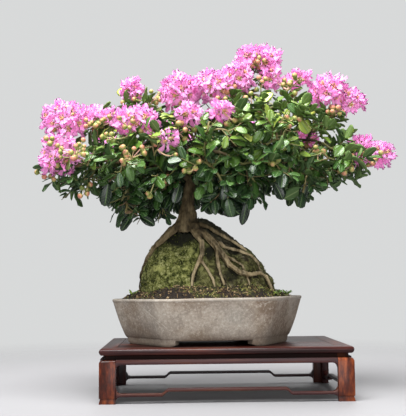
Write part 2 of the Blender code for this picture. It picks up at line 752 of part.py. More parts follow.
def grow_shoots(room):
    """Branches for the tree, and for each spray its stems: seeded courses that keep clear."""
    wood = []
    for path in limb_paths():
        places = spaced([p for p, _ in path], 5.0)
        widths = [path[0][1]] * len(places)
        room.fill(places, widths, "tree")
        wood += [p for p in places if p.z > BRANCHES_ABOVE]
    branches, sprays = [], {}
    for order, (name, tips) in enumerate(SPRAYS.items()):
        rng = random.Random(100 + order)
        ends = [Vector(tip[:3]) for tip in tips]
        middle = sum(ends, Vector()) / len(ends)
        anchor = min(wood, key=lambda p: (p - middle).length + 0.25 * (p - CROWN_HEART).length)
        reach = middle - anchor
        fork = middle - reach.normalized() * min(FORK_PULL, 0.5 * reach.length)
        for attempt in range(SHOOT_TRIES):
            nudge = random_step(rng, SHOOT_NUDGE * attempt)
            split = anchor.lerp(fork + nudge, BRANCH_SHARE) + Vector((0, 0, 3.0)) + nudge * 0.4
            heading = (fork + nudge - anchor).normalized()
            start = split + heading * GAP
            courses = []
            for number, end in enumerate(ends):
                bend = (fork + nudge).lerp(end, 0.5) + Vector((0, 0, 3.5)) + random_step(rng, 2.5)
                course = [fork + nudge, bend, end]
                courses.append([start, start + heading * 3.0] + course if number == 0 else course)
            balls = spaced(courses[0][1:], BALL_STEP)
            for course in courses[1:]:
                balls += spaced(course, BALL_STEP)
            branch = [anchor, anchor.lerp(split, 0.5) + Vector((0, 0, 1.5)), split - heading * 3.0, split]
            places = spaced(branch, BALL_STEP)
            stem_widths = [STEM_RADII[0]] * len(balls)
            branch_widths = [BRANCH_RADII[0]] * (len(places) - 1) + [BRANCH_RADII[1]]
            stems_clear = room.free(balls, stem_widths, name, SHOOT_CLEARANCE, 0.0)
            if stems_clear and room.free(places, branch_widths, "tree", SHOOT_CLEARANCE, 0.0):
                break
        branches.append(branch)
        room.fill(places, branch_widths, "tree")
        wood += places[3:-1]
        room.fill(balls, stem_widths, name)
        sprays[name] = courses
    return branches, sprays


def leaf_balls(base, heading, length, width):
    """Balls that stand for a blade."""
    points = [base + heading * length * share for share in (0.3, 0.55, 0.78, 0.98)]
    return points, [width * 0.30, width * 0.46, width * 0.42, width * 0.15]


def place_leaf(room, rng, base, along, turn, owner, opening):
    """A leaf (base, heading, normal, length, width), turned about its stem until it has room."""
    outward = (base - CROWN_HEART).normalized()
    side = along.orthogonal().normalized()
    length = rng.uniform(*LEAF_LENGTH)
    width = length * LEAF_WIDTH_SHARE * rng.uniform(0.92, 1.08)
    for attempt in range(LEAF_TRIES):
        spun = Matrix.Rotation(turn + attempt * LEAF_TURN, 3, along) @ side
        heading = (spun * math.sin(opening) + along * math.cos(opening) + outward * 0.25).normalized()
        face = Vector((0, 0, 0.8)) + outward * 0.75 + random_step(rng, 0.4)
        normal = (face - heading * face.dot(heading)).normalized()
        if attempt == LEAF_TRIES // 2:
            length, width = length * LEAF_SMALLER, width * LEAF_SMALLER
        points, radii = leaf_balls(base, heading, length, width)
        if room.free(points, radii, owner, GAP, OWN_SHARE):
            room.fill(points, radii, owner)
            return base, heading, normal, length, width
    return None


def point_at(course, share):
    """The place and direction at a share of a course's length."""
    lengths = [(b - a).length for a, b in zip(course, course[1:])]
    left = share * sum(lengths)
    for a, b, length in zip(course, course[1:], lengths):
        if left <= length:
            return a.lerp(b, left / length), (b - a).normalized()
        left -= length
    return course[-1].copy(), (course[-1] - course[-2]).normalized()


def grow_flowers(room, rng, tip, towards, count, owner):
    """Flowers (foot, centre, axis) round the end of a shoot, the outermost first."""
    outward = (tip - CROWN_HEART).normalized()
    axis = (towards * 0.5 + outward * 0.7 + Vector((0, 0, 0.35))).normalized()
    reach = FLOWER_HEAD_REACH * math.sqrt(count)
    hub = tip + axis * (reach * 0.55 + 6.0)
    flowers = []
    side = axis.orthogonal().normalized()
    beside = axis.cross(side)
    spin = rng.uniform(0, 2 * math.pi)
    for k in range(count * 4):
        if len(flowers) == count:
            break
        lean = 1.0 - 1.35 * (k + 0.5) / (count * 1.6)
        if lean < -0.45:
            break
        flat = math.sqrt(max(0.0, 1 - lean * lean))
        turn = spin + GOLDEN_ANGLE * k
        way = axis * lean + (side * math.cos(turn) + beside * math.sin(turn)) * flat
        centre = hub + way * reach * rng.uniform(0.9, 1.15)
        if any((centre - other[1]).length < FLOWER_SPACING for other in flowers):
            continue
        if not room.free([centre], [FLOWER_ROOM], owner, 1.0, 0.0):
            continue
        room.fill([centre], [FLOWER_ROOM], owner)
        foot = hub - axis * rng.uniform(2.0, 6.0)
        flowers.append((foot, centre, way))
    return hub, flowers


def grow_crown(room, sprays):
    """Leafy twigs, buds and flowers of every spray."""
    crown = {}
    for order, (name, courses) in enumerate(sprays.items()):
        rng = random.Random(500 + order)
        crown[name] = {"leaves": [], "buds": [], "heads": []}
        for number, (course, tip) in enumerate(zip(courses, SPRAYS[name])):
            end, towards = point_at(course, 1.0)
            if tip[3] == "flowers":
                owner = name.replace("leaves", "flowers") + ("_low" if number else "")
                hub, flowers = grow_flowers(room, rng, end, towards, tip[4], owner)
                crown[name]["heads"].append((owner, end, towards, hub, flowers))
            for k in range(tip[4] if tip[3] == "buds" else 0):
                turn = Matrix.Rotation(k * 2.4 + rng.uniform(0, 1), 3, towards)
                foot = end - towards * (1.0 + 5.0 * k)
                centre = foot + turn @ towards.orthogonal().normalized() * (STEM_RADII[1] + BUD_RADIUS * 0.72)
                room.fill([centre], [BUD_RADIUS], name)
                crown[name]["buds"].append(centre)
    for order, (name, courses) in enumerate(sprays.items()):
        rng = random.Random(900 + order)
        for course, tip in zip(courses, SPRAYS[name]):
            end, towards = point_at(course, 1.0)
            places = []
            if tip[3] == "leaves":
                places.append((end - towards * 1.5, towards, 0.25))
            number = LEAVES_PER_SHOOT[tip[3]]
            for k in range(number):
                base, along = point_at(course, 0.36 + 0.56 * (k + 0.5) / number)
                places.append((base, along, rng.uniform(0.9, 1.3)))
            for k, (base, along, opening) in enumerate(places):
                leaf = place_leaf(room, rng, base, along, k * 2.4 + rng.uniform(0, 1), name, opening)
                if leaf:
                    crown[name]["leaves"].append(leaf)
    return crown


# Shapes of leaves, flowers and buds


def leaf_shape(base, heading, normal, length, width, grown=0.0):
    """A leaf blade: narrow at the stem, widest past its middle, arched over, thickest at its keel."""
    across = heading.cross(normal).normalized()
    wave = random.Random(round(length * 1000))
    sections = []
    for share, wide, sink in LEAF_SECTIONS:
        spine = base + heading * length * share - normal * length * sink * 0.8
        keel = LEAF_KEEL if share else 0.7
        lift = LEAF_WAVE if share else 0.0
        sections.append([
            spine - across * (width * wide + grown) + normal * (grown + wave.uniform(0, lift)),
            spine + across * (width * wide + grown) + normal * (grown + wave.uniform(0, lift)),
            spine - normal * (keel + grown),
        ])
    points, faces = loft(sections)
    tip = len(points)
    points.append(base + heading * (length + grown) - normal * length * LEAF_TIP_SINK)
    faces.pop()
    faces += [(tip - 3, tip - 2, tip), (tip - 2, tip - 1, tip), (tip - 1, tip - 3, tip)]
    return points, faces


def flower_shape(foot, centre, axis, seed, grown=0.0):
    """A flower in one closed shape: six crinkled petals over a thin stalk."""
    rng = random.Random(seed)
    side = axis.orthogonal().normalized()
    beside = axis.cross(side)
    half = FLOWER_THICKNESS / 2 + grown
    rim = []
    for k in range(12):
        angle = 2 * math.pi * k / 12 + rng.uniform(-0.06, 0.06)
        petal = k % 2 == 0
        reach = FLOWER_RADIUS * (rng.uniform(0.93, 1.05) if petal else rng.uniform(0.56, 0.66))
        lift = rng.uniform(1.0, 5.0) if petal else rng.uniform(-0.5, 1.5)
        rim.append(centre + (side * math.cos(angle) + beside * math.sin(angle)) * reach + axis * lift)
    points = [p + axis * half for p in rim] + [p - axis * half for p in rim] + [centre + axis * half]
    stalk = (centre - foot).normalized()
    neck = centre - stalk * FLOWER_NECK - axis * half
    start = len(points)
    for at in (neck, foot):
        for k in range(3):
            angle = 2 * math.pi * k / 3
            spoke = side * math.cos(angle) + beside * math.sin(angle)
            spoke = (spoke - stalk * spoke.dot(stalk)).normalized() * (STALK_RADIUS + grown)
            points.append(at + spoke)
    faces = []
    for k in range(12):
        j = (k + 1) % 12
        faces += [(24, k, j), (k, k + 12, j + 12, j)]
    for third in range(3):
        corner = start + third
        following = start + (third + 1) % 3
        for k in range(4):
            a = 12 + (third * 4 + k - 2) % 12
            b = 12 + (third * 4 + k - 1) % 12
            faces.append((a, corner, b))
        last = 12 + (third * 4 + 2) % 12
        faces.append((last, corner, following))
        faces += [(corner, corner + 3, following + 3, following)]
    faces.append((start + 3, start + 5, start + 4))
    return points, faces


def bud_shape(centre, radius):
    """A small round bud of twenty faces."""
    shape = bmesh.new()
    bmesh.ops.create_icosphere(shape, subdivisions=1, radius=radius)
    points = [centre + vert.co for vert in shape.verts]
    faces = [tuple(vert.index for vert in face.verts) for face in shape.faces]
    shape.free()
    return points, faces


def tapered(course, radii, sides):
    """A tube whose radius runs evenly from the first value to the second."""
    count = len(course) - 1
    return tube(course, [radii[0] + (radii[1] - radii[0]) * i / count for i in range(len(course))], sides)


class Skins:
    """The surfaces made so far, to leave out a blade that would cut another node."""

    def __init__(self):
        self.kept = []

    def keep(self, owner, points, faces):
        tree = BVHTree.FromPolygons(points, faces)
        middle = sum(points, Vector()) / len(points)
        radius = max((p - middle).length for p in points)
        self.kept.append((owner, middle, radius, tree))

    def crossed(self, owner, points, faces):
        tree = BVHTree.FromPolygons(points, faces)
        middle = sum(points, Vector()) / len(points)
        radius = max((p - middle).length for p in points)
        for other, centre, size, skin in self.kept:
            if other == owner or (centre - middle).length > radius + size:
                continue
            if tree.overlap(skin):
                return True
        return False


def joined(name, first, others, finish):
    """One node from a first shape and the repeats that grow from it."""
    base = to_object("stem", *first, finish)
    if others:
        made = [to_object("repeat", *shape, finish) for shape in others]
        boolean(base, made, "UNION", "MANIFOLD")
    base.name = name
    return base


def crown_nodes(crown, sprays, skins, leaf_finish, flower_finish):
    """A green node for each spray and a pink one for each flower head."""
    stems = {}
    for name, courses in sprays.items():
        stems[name] = [tapered(course, STEM_RADII, 3) for course in courses]
        for shape in stems[name]:
            skins.keep(name, *shape)
    dropped = 0
    for name, parts in crown.items():
        for number, (owner, end, towards, hub, flowers) in enumerate(parts["heads"]):
            start = end + towards * GAP
            stalk = tapered([start, start + towards * 3.0, hub], (1.4, 1.2), 3)
            skins.keep(owner, *stalk)
            shapes = []
            for k, (foot, centre, axis) in enumerate(flowers):
                seed = 31 * k + 7 * number + len(name)
                if skins.crossed(owner, *flower_shape(foot, centre, axis, seed, 0.25)):
                    dropped += 1
                    continue
                shape = flower_shape(foot, centre, axis, seed)
                skins.keep(owner, *shape)
                shapes.append(shape)
            joined(owner, stalk, shapes, flower_finish)
    for name, parts in crown.items():
        shapes = []
        for leaf in parts["leaves"]:
            if skins.crossed(name, *leaf_shape(*leaf, 0.25)):
                dropped += 1
                continue
            shape = leaf_shape(*leaf)
            skins.keep(name, *shape)
            shapes.append(shape)
        for centre in parts["buds"]:
            if skins.crossed(name, *bud_shape(centre, BUD_RADIUS + 0.3)):
                dropped += 1
                continue
            shape = bud_shape(centre, BUD_RADIUS)
            skins.keep(name, *shape)
            shapes.append(shape)
        joined(name, stems[name][0], stems[name][1:] + shapes, leaf_finish)
    print("left out, being in another node's way:", dropped)


def main():
    for obj in list(bpy.data.objects):
        bpy.data.objects.remove(obj)
    wood = material("stand wood", (0.115, 0.036, 0.020), 0.32)
    ceramic = material("unglazed ceramic", (0.300, 0.262, 0.225), 0.72)
    stone = material("mossy stone", (0.165, 0.150, 0.060), 0.92)
    earth = material("soil", (0.085, 0.048, 0.028), 0.96)
    bark = material("bark", (0.270, 0.190, 0.120), 0.80)
    green = material("leaf green", (0.050, 0.130, 0.035), 0.40)
    pink = material("petal pink", (0.760, 0.200, 0.560), 0.60)

    stand(wood)
    pot(ceramic)
    rock_points, rock_faces = loft(rock_rings())
    rock_skin = BVHTree.FromPolygons(rock_points, rock_faces)
    rock = to_object("rock", rock_points, rock_faces, stone)
    ground = soil(earth)

    room = Room()
    room.fill(rock_points, [4.0] * len(rock_points), "rock")
    branches, sprays = grow_shoots(room)
    crown = grow_crown(room, sprays)

    cutters = [to_object("cutter", *shape, bark) for shape in wood_tubes(rock_skin, CUT_CLEARANCE)]
    first, rest = cutters[-1], cutters[:-1]
    boolean(first, rest, "UNION")
    rock_cutter = to_object("cutter", *loft(rock_rings(CUT_CLEARANCE)), stone)
    spare = first.copy()
    spare.data = first.data.copy()
    bpy.context.scene.collection.objects.link(spare)
    boolean(rock, [first], "DIFFERENCE", "MANIFOLD")
    boolean(ground, [rock_cutter, spare], "DIFFERENCE", "MANIFOLD")

    shapes = wood_tubes(rock_skin) + limb_tubes()
    shapes += [tapered(branch, BRANCH_RADII, BRANCH_SIDES) for branch in branches]
    trunk = shapes.pop(len(FRONT_ROOTS) + len(BACK_ROOTS))
    skins = Skins()
    for shape in shapes + [trunk, (rock_points, rock_faces)]:
        skins.keep("tree", *shape)
    joined("tree", trunk, shapes, bark)
    crown_nodes(crown, sprays, skins, green, pink)
    stand_at_origin()


def limb_tubes():
    """The main limbs above the trunk's fork."""
    out = []
    for path in limb_paths()[1:]:
        out.append(tube([p for p, _ in path], [r for _, r in path], LIMB_SIDES))
    return out


def stand_at_origin():
    """Sets the whole on an empty, so that the middle of its box stands on the origin."""
    low, high = Vector((9, 9, 9)), Vector((-9, -9, -9))
    graph = bpy.context.evaluated_depsgraph_get()
    pieces = [obj for obj in bpy.data.objects if obj.type == "MESH"]
    for obj in pieces:
        for corner in obj.evaluated_get(graph).bound_box:
            low = Vector(map(min, low, corner))
            high = Vector(map(max, high, corner))
    holder = bpy.data.objects.new("bonsai", None)
    bpy.context.scene.collection.objects.link(holder)
    holder.location = (-(low.x + high.x) / 2, -(low.y + high.y) / 2, -low.z)
    for obj in pieces:
        obj.parent = holder
    print("box", [round(v, 4) for v in high - low], "moved by", [round(v, 5) for v in holder.location])


main()
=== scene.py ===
# %% [markdown]
# # A crepe myrtle bonsai, dressed for its portrait
#
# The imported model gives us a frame: a stand, a pot, soil, a rock, a tree, and plain sprays of
# leaves and flower heads, all at their real size. This lesson keeps every piece where it is and
# gives it the surface of the real one. It grows the crown a second time by the same seeded rule,
# now with veined leaves, ruffled petals and many more of both.

# %% The frame
import math
import random

import bmesh
import bpy
import numpy as np
from mathutils import Euler, Matrix, Vector, noise


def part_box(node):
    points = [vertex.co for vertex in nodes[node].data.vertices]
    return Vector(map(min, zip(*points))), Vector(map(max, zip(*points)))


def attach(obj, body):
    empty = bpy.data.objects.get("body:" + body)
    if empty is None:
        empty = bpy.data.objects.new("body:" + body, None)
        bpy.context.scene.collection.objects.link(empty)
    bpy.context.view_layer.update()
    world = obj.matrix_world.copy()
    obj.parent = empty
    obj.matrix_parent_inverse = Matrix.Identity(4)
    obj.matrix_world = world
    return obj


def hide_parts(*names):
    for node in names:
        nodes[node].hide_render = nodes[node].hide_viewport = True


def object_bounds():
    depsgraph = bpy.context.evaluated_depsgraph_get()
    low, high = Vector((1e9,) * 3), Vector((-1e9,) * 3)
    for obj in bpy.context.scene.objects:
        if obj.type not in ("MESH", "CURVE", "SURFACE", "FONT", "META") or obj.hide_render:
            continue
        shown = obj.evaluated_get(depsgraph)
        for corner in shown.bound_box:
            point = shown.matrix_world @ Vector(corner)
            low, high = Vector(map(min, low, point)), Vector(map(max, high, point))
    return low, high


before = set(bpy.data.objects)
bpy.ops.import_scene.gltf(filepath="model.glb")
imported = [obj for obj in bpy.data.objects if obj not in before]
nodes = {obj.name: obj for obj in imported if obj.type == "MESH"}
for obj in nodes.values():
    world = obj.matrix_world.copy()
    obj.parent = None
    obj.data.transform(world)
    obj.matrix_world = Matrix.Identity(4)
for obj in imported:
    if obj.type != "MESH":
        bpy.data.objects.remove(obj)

CAD_LOW, CAD_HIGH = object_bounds()
print("nodes in the frame:", len(nodes))

# %% [markdown]
# ## Units and places
# Makers of pots and stands think in millimetres, so the lesson does too. A place in millimetres
# is measured from the middle of the stand, on the table. The frame has its own origin, and the
# panel of the stand tells us how far apart the two are. `to_frame` turns one into the other.

# %% Units and places
MM = 0.001
PANEL_LOW, PANEL_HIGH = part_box("stand_panel")
STAND_MIDDLE = Vector(((PANEL_LOW.x + PANEL_HIGH.x) / 2, (PANEL_LOW.y + PANEL_HIGH.y) / 2, 0))


def to_frame(points):
    """Points in millimetres from the stand's middle, as an array in the frame's metres."""
    return np.asarray(points, float) * MM + np.array(STAND_MIDDLE)


def from_frame(point):
    """A place in the frame, as millimetres from the stand's middle."""
    return (Vector(point) - STAND_MIDDLE) / MM


print("the stand's middle lies at", [round(v, 4) for v in STAND_MIDDLE])

# %% [markdown]
# ## Camera
# The portrait was taken from in front and a little below the crown, with a long lens. The camera
# stands 1.1 m away, at about the height of the pot's rim, and looks up by five degrees.

# %% Camera
LENS_MM, SENSOR_MM = 73.64, 36.0
CAMERA_PLACE = (-53.6, -1100.0, 138.6)
CAMERA_UP, CAMERA_YAW, CAMERA_ROLL = math.radians(5.04), math.radians(1.55), math.radians(0.55)


def in_scene(name, data):
    """A new object of the scene, made of this data."""
    obj = bpy.data.objects.new(name, data)
    bpy.context.scene.collection.objects.link(obj)
    return obj


camera = in_scene("camera", bpy.data.cameras.new("camera"))
camera.data.lens = LENS_MM
camera.data.sensor_width = SENSOR_MM
camera.location = to_frame([CAMERA_PLACE])[0]
turned = Euler((math.pi / 2 + CAMERA_UP, 0, -CAMERA_YAW)).to_matrix()
camera.rotation_euler = (turned @ Matrix.Rotation(-CAMERA_ROLL, 3, "Z")).to_euler()
bpy.context.scene.camera = camera
bpy.context.scene.view_settings.view_transform = "Standard"
print("camera with a lens of", LENS_MM, "mm")

# %% [markdown]
# ## Studio light
# A large soft light hangs above and in front, as in a studio. A weak one in front opens the shade,
# and one behind draws a thin rim of light. The wall that the camera sees is paler than the light
# it gives, so that the shade between the leaves stays deep.

# %% Studio light
WALL_COLOUR = (0.685, 0.695, 0.695)
AIR_COLOUR = (0.31, 0.31, 0.31)
SOFT_LIGHTS = [
    ("light above", (-250, -420, 1400), 0.9, 53.0),
    ("light in front", (100, -1500, 330), 0.9, 11.0),
    ("light behind", (200, 900, 1000), 0.9, 8.0),
]
AIM = Vector((-10, 0, 240))

world = bpy.data.worlds.new("studio")
world.use_nodes = True
sky, link = world.node_tree.nodes, world.node_tree.links.new
seen, unseen = sky["Background"], sky.new("ShaderNodeBackground")
seen.inputs["Color"].default_value = (*WALL_COLOUR, 1)
unseen.inputs["Color"].default_value = (*AIR_COLOUR, 1)
chosen = sky.new("ShaderNodeMixShader")
link(sky.new("ShaderNodeLightPath").outputs["Is Camera Ray"], chosen.inputs[0])
link(unseen.outputs[0], chosen.inputs[1])
link(seen.outputs[0], chosen.inputs[2])
link(chosen.outputs[0], sky["World Output"].inputs["Surface"])
bpy.context.scene.world = world
for name, place, side, power in SOFT_LIGHTS:
    light = bpy.data.lights.new(name, "AREA")
    light.shape = "SQUARE"
    light.size = side
    light.energy = power
    lamp = in_scene(name, light)
    lamp.location = to_frame([place])[0]
    lamp.rotation_euler = (Vector(place) - AIM).to_track_quat("Z", "Y").to_euler()
print("soft lights:", len(SOFT_LIGHTS))

# %% [markdown]
# ## Writing shaders as sums
# A material's pattern is a sum of masks and noises. Clicking Math nodes together hides that sum,
# so one small class wraps a socket and lets Python's own signs add the nodes. Every other kind
# of node is made by one method, `node`, which takes its type, its settings and its sockets.

# %% Shader maths
class Value:
    """A socket that can stand in a sum."""

    def __init__(self, finish, socket):
        self.finish = finish
        self.socket = socket

    def maths(self, operation, *terms):
        sockets = dict(enumerate(terms))
        return self.finish.node("ShaderNodeMath", {"operation": operation}, sockets)[0]

    def __add__(self, other):
        return self.maths("ADD", self, other)

    def __radd__(self, other):
        return self.maths("ADD", other, self)

    def __sub__(self, other):
        return self.maths("SUBTRACT", self, other)

    def __rsub__(self, other):
        return self.maths("SUBTRACT", other, self)

    def __mul__(self, other):
        return self.maths("MULTIPLY", self, other)

    def __rmul__(self, other):
        return self.maths("MULTIPLY", other, self)

    def __abs__(self):
        return self.maths("ABSOLUTE", self)

    def between(self, low, high):
        """Nought below low, one above high, and smooth in between."""
        settings = {"interpolation_type": "SMOOTHSTEP"}
        sockets = {"Value": self, "From Min": low, "From Max": high}
        return self.finish.node("ShaderNodeMapRange", settings, sockets)[0]


print("a value can be added, taken away and multiplied")

# %% [markdown]
# ## One finish for one material
# A finish holds a material while it is mixed. Its methods are the few things that this lesson asks
# for again and again: a noise, a ramp of colours, coats laid over each other, and relief.

# %% Nodes of a finish
class Made:
    """A new node, whose outputs are read by name or number."""

    def __init__(self, finish, made):
        self.finish = finish
        self.made = made

    def __getitem__(self, output):
        return Value(self.finish, self.made.outputs[output])


class Finish:
    """A material being mixed, round one Principled shader."""

    def __init__(self, name, **constants):
        self.material = bpy.data.materials.new(name)
        self.material.use_nodes = True
        self.tree = self.material.node_tree
        self.shader = self.tree.nodes["Principled BSDF"]
        self.feed(self.shader, {key.replace("_", " "): value for key, value in constants.items()})

    def node(self, kind, settings=None, sockets=None):
        made = self.tree.nodes.new(kind)
        for name, value in (settings or {}).items():
            if name == "stops":
                self.set_stops(made.color_ramp, value)
            else:
                setattr(made, name, value)
        self.feed(made, sockets or {})
        return Made(self, made)

    def set_stops(self, ramp, stops):
        while len(ramp.elements) > 1:
            ramp.elements.remove(ramp.elements[-1])
        ramp.elements[0].position = stops[0][0]
        ramp.elements[0].color = (*stops[0][1], 1)
        for position, colour in stops[1:]:
            ramp.elements.new(position).color = (*colour, 1)

    def feed(self, made, sockets):
        for name, value in sockets.items():
            socket = made.inputs[name]
            if isinstance(value, Value):
                self.tree.links.new(value.socket, socket)
            elif isinstance(value, tuple) and socket.type == "RGBA":
                socket.default_value = (*value, 1)
            else:
                socket.default_value = value

    def place(self):
        """The place on the object, in the frame's metres."""
        return self.node("ShaderNodeTexCoord")["Object"]

    def coordinate(self, axis):
        """How far along X, Y or Z the place is."""
        return self.node("ShaderNodeSeparateXYZ", {}, {0: self.place()})[axis]

    def stretched(self, scale):
        """The place with each direction drawn out or pressed together."""
        return self.node("ShaderNodeMapping", {}, {"Vector": self.place(), "Scale": scale})[0]

    def mark(self, name):
        """A number that the mesh carries at each point."""
        return self.node("ShaderNodeAttribute", {"attribute_name": name})["Fac"]

    def noise(self, scale, detail=4.0, rough=0.55, where=None):
        sockets = {"Vector": where or self.place(), "Scale": scale, "Detail": detail, "Roughness": rough}
        return self.node("ShaderNodeTexNoise", {}, sockets)[0]

    def cells(self, scale):
        return self.node("ShaderNodeTexVoronoi", {}, {"Vector": self.place(), "Scale": scale})["Distance"]

    def ramp(self, value, *stops):
        return self.node("ShaderNodeValToRGB", {"stops": stops}, {0: value})[0]

    def by_shade(self, *stops):
        """Colours that follow the shade which each leaf, petal or grain carries."""
        return self.ramp(self.mark("shade"), *stops)

    def mix(self, share, first, second, how="MIX"):
        settings = {"data_type": "RGBA", "blend_type": how}
        return self.node("ShaderNodeMix", settings, {0: share, 6: first, 7: second})[2]

    def layers(self, colour, *coats):
        """Lays coats over a colour, each given as its share and its own colour, the last one on top."""
        for share, coat in coats:
            colour = self.mix(share, colour, coat)
        return colour

    def bump(self, height, depth, strength=1.0):
        """Relief of this depth in metres, fed to the shader's Normal."""
        sockets = {"Height": height, "Distance": depth, "Strength": strength}
        self.set(Normal=self.node("ShaderNodeBump", {}, sockets)[0])

    def set(self, **values):
        self.feed(self.shader, {key.replace("_", " "): value for key, value in values.items()})
        return self

    def blend(self, share, other):
        """Mixes a share of another shader into this one."""
        mixed = self.node("ShaderNodeMixShader", {}, {0: share})
        self.tree.links.new(self.shader.outputs[0], mixed.made.inputs[1])
        self.tree.links.new(other.made.outputs[0], mixed.made.inputs[2])
        self.tree.links.new(mixed.made.outputs[0], self.tree.nodes["Material Output"].inputs["Surface"])


print("shader maths is ready")

# %% [markdown]
# ## The floor
# A plane with one colour would end in a hard line, and a curved backdrop would stand in the way
# of a view from behind. So the floor is a disc whose shader mixes into nothing with distance.

# %% Floor
FLOOR_RADIUS, FLOOR_SIDES = 2.6, 96
FLOOR_COLOUR = (0.305, 0.302, 0.311)
FADE_FROM, FADE_TO = 0.30, 1.10

disc = bmesh.new()
bmesh.ops.create_circle(disc, cap_ends=True, segments=FLOOR_SIDES, radius=FLOOR_RADIUS)
floor_mesh = bpy.data.meshes.new("floor")
disc.to_mesh(floor_mesh)
disc.free()
floor = in_scene("floor", floor_mesh)
pale = Finish("pale floor", Roughness=0.55)
away = pale.node("ShaderNodeVectorMath", {"operation": "LENGTH"}, {0: pale.place()})["Value"]
pale.set(Base_Color=FLOOR_COLOUR)
pale.blend(away.between(FADE_FROM, FADE_TO), pale.node("ShaderNodeBsdfTransparent"))
floor.data.materials.append(pale.material)
print("floor of", FLOOR_RADIUS, "m")

# %% [markdown]
# ## Making meshes
# `mesh_object` makes an object from points and faces. `piece_of` hangs the piece on the root body
# and hides what it replaces.

# %% Directions and pieces
UP = Vector((0, 0, 1))
FULL_TURN = 2 * math.pi
ANY_TURN = 6.3


def clamped(value):
    """The value, but no less than nought and no more than one."""
    return min(1.0, max(0.0, value))


def spoke(side, beside, angle):
    """A direction at this angle in the plane of two others."""
    return side * math.cos(angle) + beside * math.sin(angle)


def square_to(heading, face):
    """The direction nearest to `face` that stands square to the heading."""
    return (face - heading * face.dot(heading)).normalized()


def nearest(places, goal):
    return min(places, key=lambda place: (place - goal).length)


def mesh_object(name, points, faces, finishes):
    mesh = bpy.data.meshes.new(name)
    mesh.from_pydata(points, [], faces)
    mesh.shade_smooth()
    for finish in finishes:
        mesh.materials.append(finish.material)
    return in_scene(name, mesh)


def piece_of(obj, slot, *stands_for):
    """Hangs a finished piece on the root body, hides the nodes it stands for, and prints its size."""
    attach(obj, "root")
    if stands_for:
        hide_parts(*stands_for)
    print(obj.name, "has", sum(len(face.vertices) - 2 for face in obj.data.polygons), "triangles")
    return obj


def copy_of(node, name, finish):
    """A loose copy of a node's mesh, to be worked on."""
    obj = in_scene(name, nodes[node].data.copy())
    obj.data.materials.clear()
    obj.data.materials.append(finish.material)
    return obj


print("up is", list(UP))

# %% [markdown]
# ## Working on a skin
# The solids are plain, so their meshes get a finer skin by modifiers, and each point of it is then
# pushed in or out. How far it stands out from its surroundings is kept as a mark, so that the hollows
# can get painted shade and the ridges a painted highlight.

# %% Skins
def add_modifier(obj, kind, **settings):
    made = obj.modifiers.new(kind.lower(), kind)
    for name, value in settings.items():
        setattr(made, name, value)
    return made


def apply_modifiers(obj):
    graph = bpy.context.evaluated_depsgraph_get()
    finished = bpy.data.meshes.new_from_object(obj.evaluated_get(graph))
    obj.modifiers.clear()
    obj.data = finished
    return obj


def weld(obj, within=1e-6):
    """Joins the points that the frame's file stores once for each face."""
    shape = bmesh.new()
    shape.from_mesh(obj.data)
    bmesh.ops.remove_doubles(shape, verts=shape.verts, dist=within)
    bmesh.ops.recalc_face_normals(shape, faces=shape.faces)
    shape.to_mesh(obj.data)
    shape.free()
    return obj


def remeshed(obj, voxel_mm, smooth_steps):
    """One even skin over everything in the mesh, with its steps smoothed away."""
    add_modifier(obj, "REMESH", mode="VOXEL", voxel_size=voxel_mm * MM, use_smooth_shade=True)
    if smooth_steps:
        add_modifier(obj, "SMOOTH", factor=0.5, iterations=smooth_steps)
    return apply_modifiers(obj)


def read_rows(rows, name):
    """A vector of each of a mesh's points or normals, as an array."""
    flat = np.empty(len(rows) * 3)
    rows.foreach_get(name, flat)
    return flat.reshape(-1, 3)


def points_and_normals(mesh):
    return read_rows(mesh.vertices, "co"), read_rows(mesh.vertex_normals, "vector")


def write_mark(mesh, name, values):
    """Gives each point of a mesh a number that a shader can read."""
    layer = mesh.attributes.new(name, "FLOAT", "POINT")
    layer.data.foreach_set("value", np.asarray(values, np.float32))


def push_out(obj, height_at):
    """Moves each point along its normal by a height in millimetres, given its place in millimetres."""
    points, normals = points_and_normals(obj.data)
    heights = [height_at(from_frame(p), Vector(n)) for p, n in zip(points, normals)]
    points += normals * np.array(heights)[:, None] * MM
    obj.data.vertices.foreach_set("co", points.ravel())
    obj.data.update()
    return obj


def mark_ridges(obj, steps):
    """Marks each point with how far it stands out from its smoothed surroundings, in millimetres."""
    mesh = obj.data
    pairs = np.empty(len(mesh.edges) * 2, dtype=np.int64)
    mesh.edges.foreach_get("vertices", pairs)
    a, b = pairs.reshape(-1, 2).T
    points, normals = points_and_normals(mesh)
    neighbours = np.bincount(np.concatenate([a, b]), minlength=len(points))[:, None]
    smooth = points.copy()
    for step in range(steps):
        sums = [np.bincount(a, smooth[b, axis], len(points)) + np.bincount(b, smooth[a, axis], len(points))
                for axis in range(3)]
        smooth = 0.5 * smooth + 0.5 * np.transpose(sums) / neighbours
    ridge = ((points - smooth) * normals).sum(axis=1) / MM
    write_mark(mesh, "ridge", ridge)
    hollow, high = (round(float(value), 2) for value in np.percentile(ridge, (5, 95)))
    print(obj.name, "has ridges of", high, "mm and hollows of", hollow, "mm")


print("skins can be remeshed and pushed")

# %% [markdown]
# ## Heaps and tubes
# `Heap` gathers hundreds of small shapes into one mesh, and each point remembers where on its leaf
# or petal it lies, so that a shader can draw a midrib there. Stems, stalks and needles are all
# round tubes along a curve.

# %% Heaps
def random_step(rng, size):
    return Vector((rng.uniform(-size, size), rng.uniform(-size, size), rng.uniform(-size, size)))


